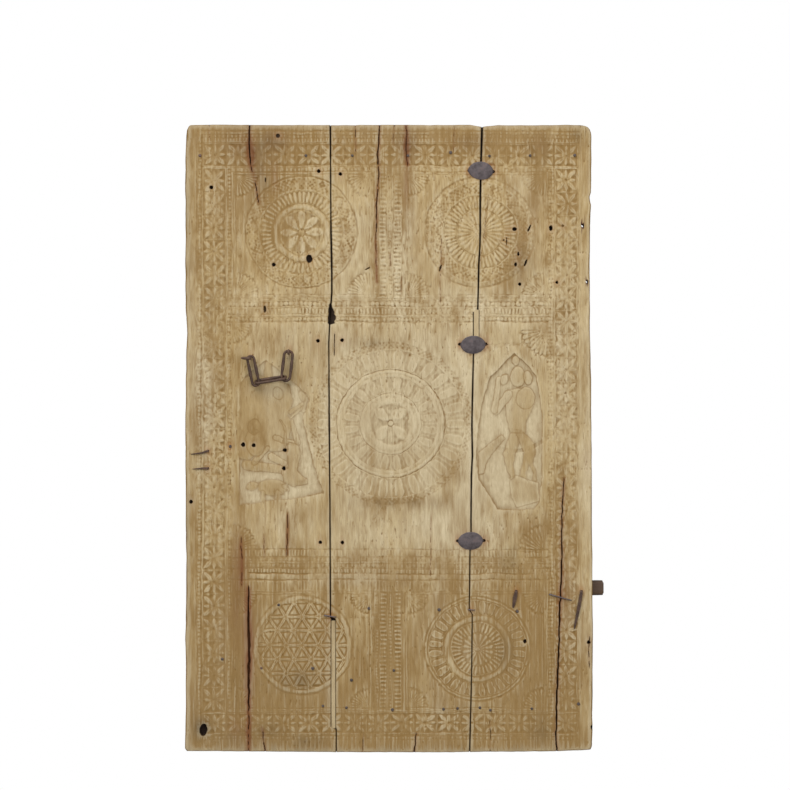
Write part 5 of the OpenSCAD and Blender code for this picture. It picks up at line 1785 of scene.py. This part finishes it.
class DOORLEAF_OT_chain(bpy.types.Operator):
    """Builds the three links of the pull chain and the two hooked spikes that hold it"""

    bl_idname = "doorleaf.chain"
    bl_label = "Pull chain"

    def execute(self, context):
        for side, seed in (("left", 301), ("right", 303)):
            _, _, lean, width = HOOKS[side]
            turn = math.radians(lean)
            top = on_hanging_link(side, 0)

            def place(across, down, top=top, turn=turn):
                return (top[0] + across * math.cos(turn) + down * math.sin(turn), CHAIN_Y,
                        top[1] + across * math.sin(turn) - down * math.cos(turn))

            obj = link_object(f"forged_link_{side}", place, (0, 1, 0), LINK_REACH, width, seed)
            finish_piece(obj, f"chain_link_{side}", f"chain_{side}", "chain iron")
        start, end = on_hanging_link("left", CROSS), on_hanging_link("right", CROSS)
        run = math.hypot(end[0] - start[0], end[1] - start[1])
        ux, uz = (end[0] - start[0]) / run, (end[1] - start[1]) / run
        roll = math.radians(MIDDLE_ROLL)

        def place_middle(across, down):
            out, lift = across * math.cos(roll), across * math.sin(roll)
            return start[0] + down * ux - lift * uz, CHAIN_Y + out, start[1] + down * uz + lift * ux

        normal = (-math.cos(roll) * uz, -math.sin(roll), math.cos(roll) * ux)
        obj = link_object("forged_link_middle", place_middle, normal, run, MIDDLE_WIDTH, 305)
        finish_piece(obj, "chain_link_middle", "chain_middle", "chain iron")
        for side, crown, arm, turn, seed in (("left", 18, 27, 176, 307), ("right", 9, 12, 90, 309)):
            name = "chain_spike_" + side
            obj = hook_spike("forged_" + name, *HOOKS[side][:2], crown, arm, turn, seed)
            finish_piece(obj, name, LEAF, "chain iron")
        return {"FINISHED"}


class DOORLEAF_OT_spikes(bpy.types.Operator):
    """Builds the clenched spikes and the staples"""

    bl_idname = "doorleaf.spikes"
    bl_label = "Spikes and staples"

    def execute(self, context):
        for name, root, tip, kink, widths, thick, head, seed in (
            ("edge_spike_upper", (-524, 874.1), (-574.5, 864.5), 2.2, (6.6, 5, 3), 3.2, BACK_Y, 401),
            ("edge_spike_lower", (-524, 823.6), (-569.5, 821.5), -0.6, (7.5, 5.2, 2.2), 3.0, BACK_Y, 403),
            ("batten_spike_long", (558, 467.7), (536.8, 357.5), 1, (9.5, 10, 6), 3.8, BATTEN_BACK_Y - 2, 405),
            ("batten_spike_short", (369, 467.7), (359.8, 419), -0.5, (9, 13, 7), 3.8, BATTEN_BACK_Y - 2, 407),
        ):
            obj = bent_spike("forged_" + name, root, tip, kink, *widths, thick, head, seed)
            finish_piece(obj, name, LEAF, "chain iron")
        for name, root, end, widths, thick, leg, seed in (
            ("split_staple", (466, 458.5), (529, 441), (8, 4), 3.8, 18, 411),
            ("joint_staple_left", (-186, 397.5), (-154, 392.5), (7, 6), 3.8, 18, 413),
            ("joint_staple_right", (230, 414.5), (248.5, 413), (6, 5), 3.4, 18, 415),
        ):
            obj = staple_object("forged_" + name, root, end, *widths, thick, leg, seed, 1.2)
            finish_piece(obj, name, LEAF, "forged iron")
        return {"FINISHED"}


class DOORLEAF_OT_nails(bpy.types.Operator):
    """Builds the nail heads of every batten and the stray nail"""

    bl_idname = "doorleaf.nails"
    bl_label = "Nails"

    def execute(self, context):
        settings = context.scene.nail_settings
        for number, (node, shank) in enumerate((
            ("top_batten_nails", settings.shank), ("lower_batten_nails", settings.shank),
            ("bottom_batten_nails", settings.shank), ("stray_nail", 23),
        )):
            obj = nails_object("forged_" + node, node, shank, settings.seed + number)
            finish_piece(obj, node, LEAF, "nail iron")
        return {"FINISHED"}


def even_white(holder, glow, output, light):
    """White to the eye, and an even soft light for everything round it."""
    sh = nodes_of(holder)
    seen = sh.node(glow, Color=(1.0, 1.0, 1.0), Strength=1.0)
    lit = sh.node(glow, Color=(0.96, 0.98, 1.0), Strength=light)
    mix = sh.node("ShaderNodeMixShader", i0=sh.node("ShaderNodeLightPath").outputs["Is Camera Ray"],
                  i1=lit.outputs[0], i2=seen.outputs[0])
    sh.node(output, Surface=mix.outputs[0])


class DOORLEAF_OT_stage(bpy.types.Operator):
    """Sets the white surroundings, the soft lights and the camera"""

    bl_idname = "doorleaf.stage"
    bl_label = "Stage"

    def execute(self, context):
        settings = context.scene.stage_settings
        scene = context.scene
        scene.world = bpy.data.worlds.new("white room")
        even_white(scene.world, "ShaderNodeBackground", "ShaderNodeOutputWorld", settings.sky)
        corners = [(x, y, -0.002) for x, y in ((-3, -7), (3, -7), (3, 3), (-3, 3))]
        floor = mesh_object("pale floor", corners, [(0, 1, 2, 3)])
        floor.data.materials.append(bpy.data.materials.new("white floor"))
        even_white(floor.data.materials[0], "ShaderNodeEmission", "ShaderNodeOutputMaterial", settings.sky)
        for name, place, size, power in (
            ("key light", (-4.0, -9.0, 11.0), 11.0, settings.key_power),
            ("fill light", (4.5, -9.0, 0.6), 7.0, settings.fill_power),
        ):
            light = bpy.data.lights.new(name, "AREA")
            light.size, light.energy = size, power
            lamp = placed(name, light)
            lamp.location = place
            aim = Vector((0, 0, 0.95)) - Vector(place)
            lamp.rotation_euler = aim.to_track_quat("-Z", "Y").to_euler()
        camera = bpy.data.cameras.new("camera")
        camera.lens, camera.sensor_width = 100, 36
        eye = placed("camera", camera)
        eye.location = (0.0175, FACE_Y * MM - settings.distance, 1.036)
        eye.rotation_euler = (math.pi / 2, 0, 0)
        scene.camera = eye
        scene.view_settings.view_transform = "Standard"
        return {"FINISHED"}


class DOORLEAF_PT_panel(bpy.types.Panel):
    """Builds the door leaf piece by piece"""

    bl_label = "Carved Door Leaf"
    bl_idname = "DOORLEAF_PT_panel"
    bl_space_type = "VIEW_3D"
    bl_region_type = "UI"
    bl_category = "Door Leaf"

    def draw(self, context):
        scene = context.scene
        for settings in (getattr(scene, group) for group in GROUPS):
            for name in settings.bl_rna.properties.keys():
                if name not in ("rna_type", "name"):
                    self.layout.prop(settings, name)
        for operator in OPERATORS:
            self.layout.operator(operator.bl_idname)


OPERATORS = (
    DOORLEAF_OT_planks, DOORLEAF_OT_strips, DOORLEAF_OT_battens, DOORLEAF_OT_clamps, DOORLEAF_OT_chain,
    DOORLEAF_OT_spikes, DOORLEAF_OT_nails, DOORLEAF_OT_stage,
)
GROUPS = {
    "finish_settings": FinishSettings, "leaf_settings": LeafSettings, "nail_settings": NailSettings,
    "stage_settings": StageSettings,
}


def register():
    for cls in (*GROUPS.values(), *OPERATORS, DOORLEAF_PT_panel):
        bpy.utils.register_class(cls)
    for name, cls in GROUPS.items():
        setattr(bpy.types.Scene, name, bpy.props.PointerProperty(type=cls))


def unregister():
    for name in GROUPS:
        delattr(bpy.types.Scene, name)
    for cls in (DOORLEAF_PT_panel, *OPERATORS[::-1], *tuple(GROUPS.values())[::-1]):
        bpy.utils.unregister_class(cls)


def main():
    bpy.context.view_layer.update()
    register()
    for name in ("planks", "strips", "battens", "clamps", "chain", "spikes", "nails", "stage"):
        getattr(bpy.ops.doorleaf, name)()


if __name__ == "__main__":
    main()
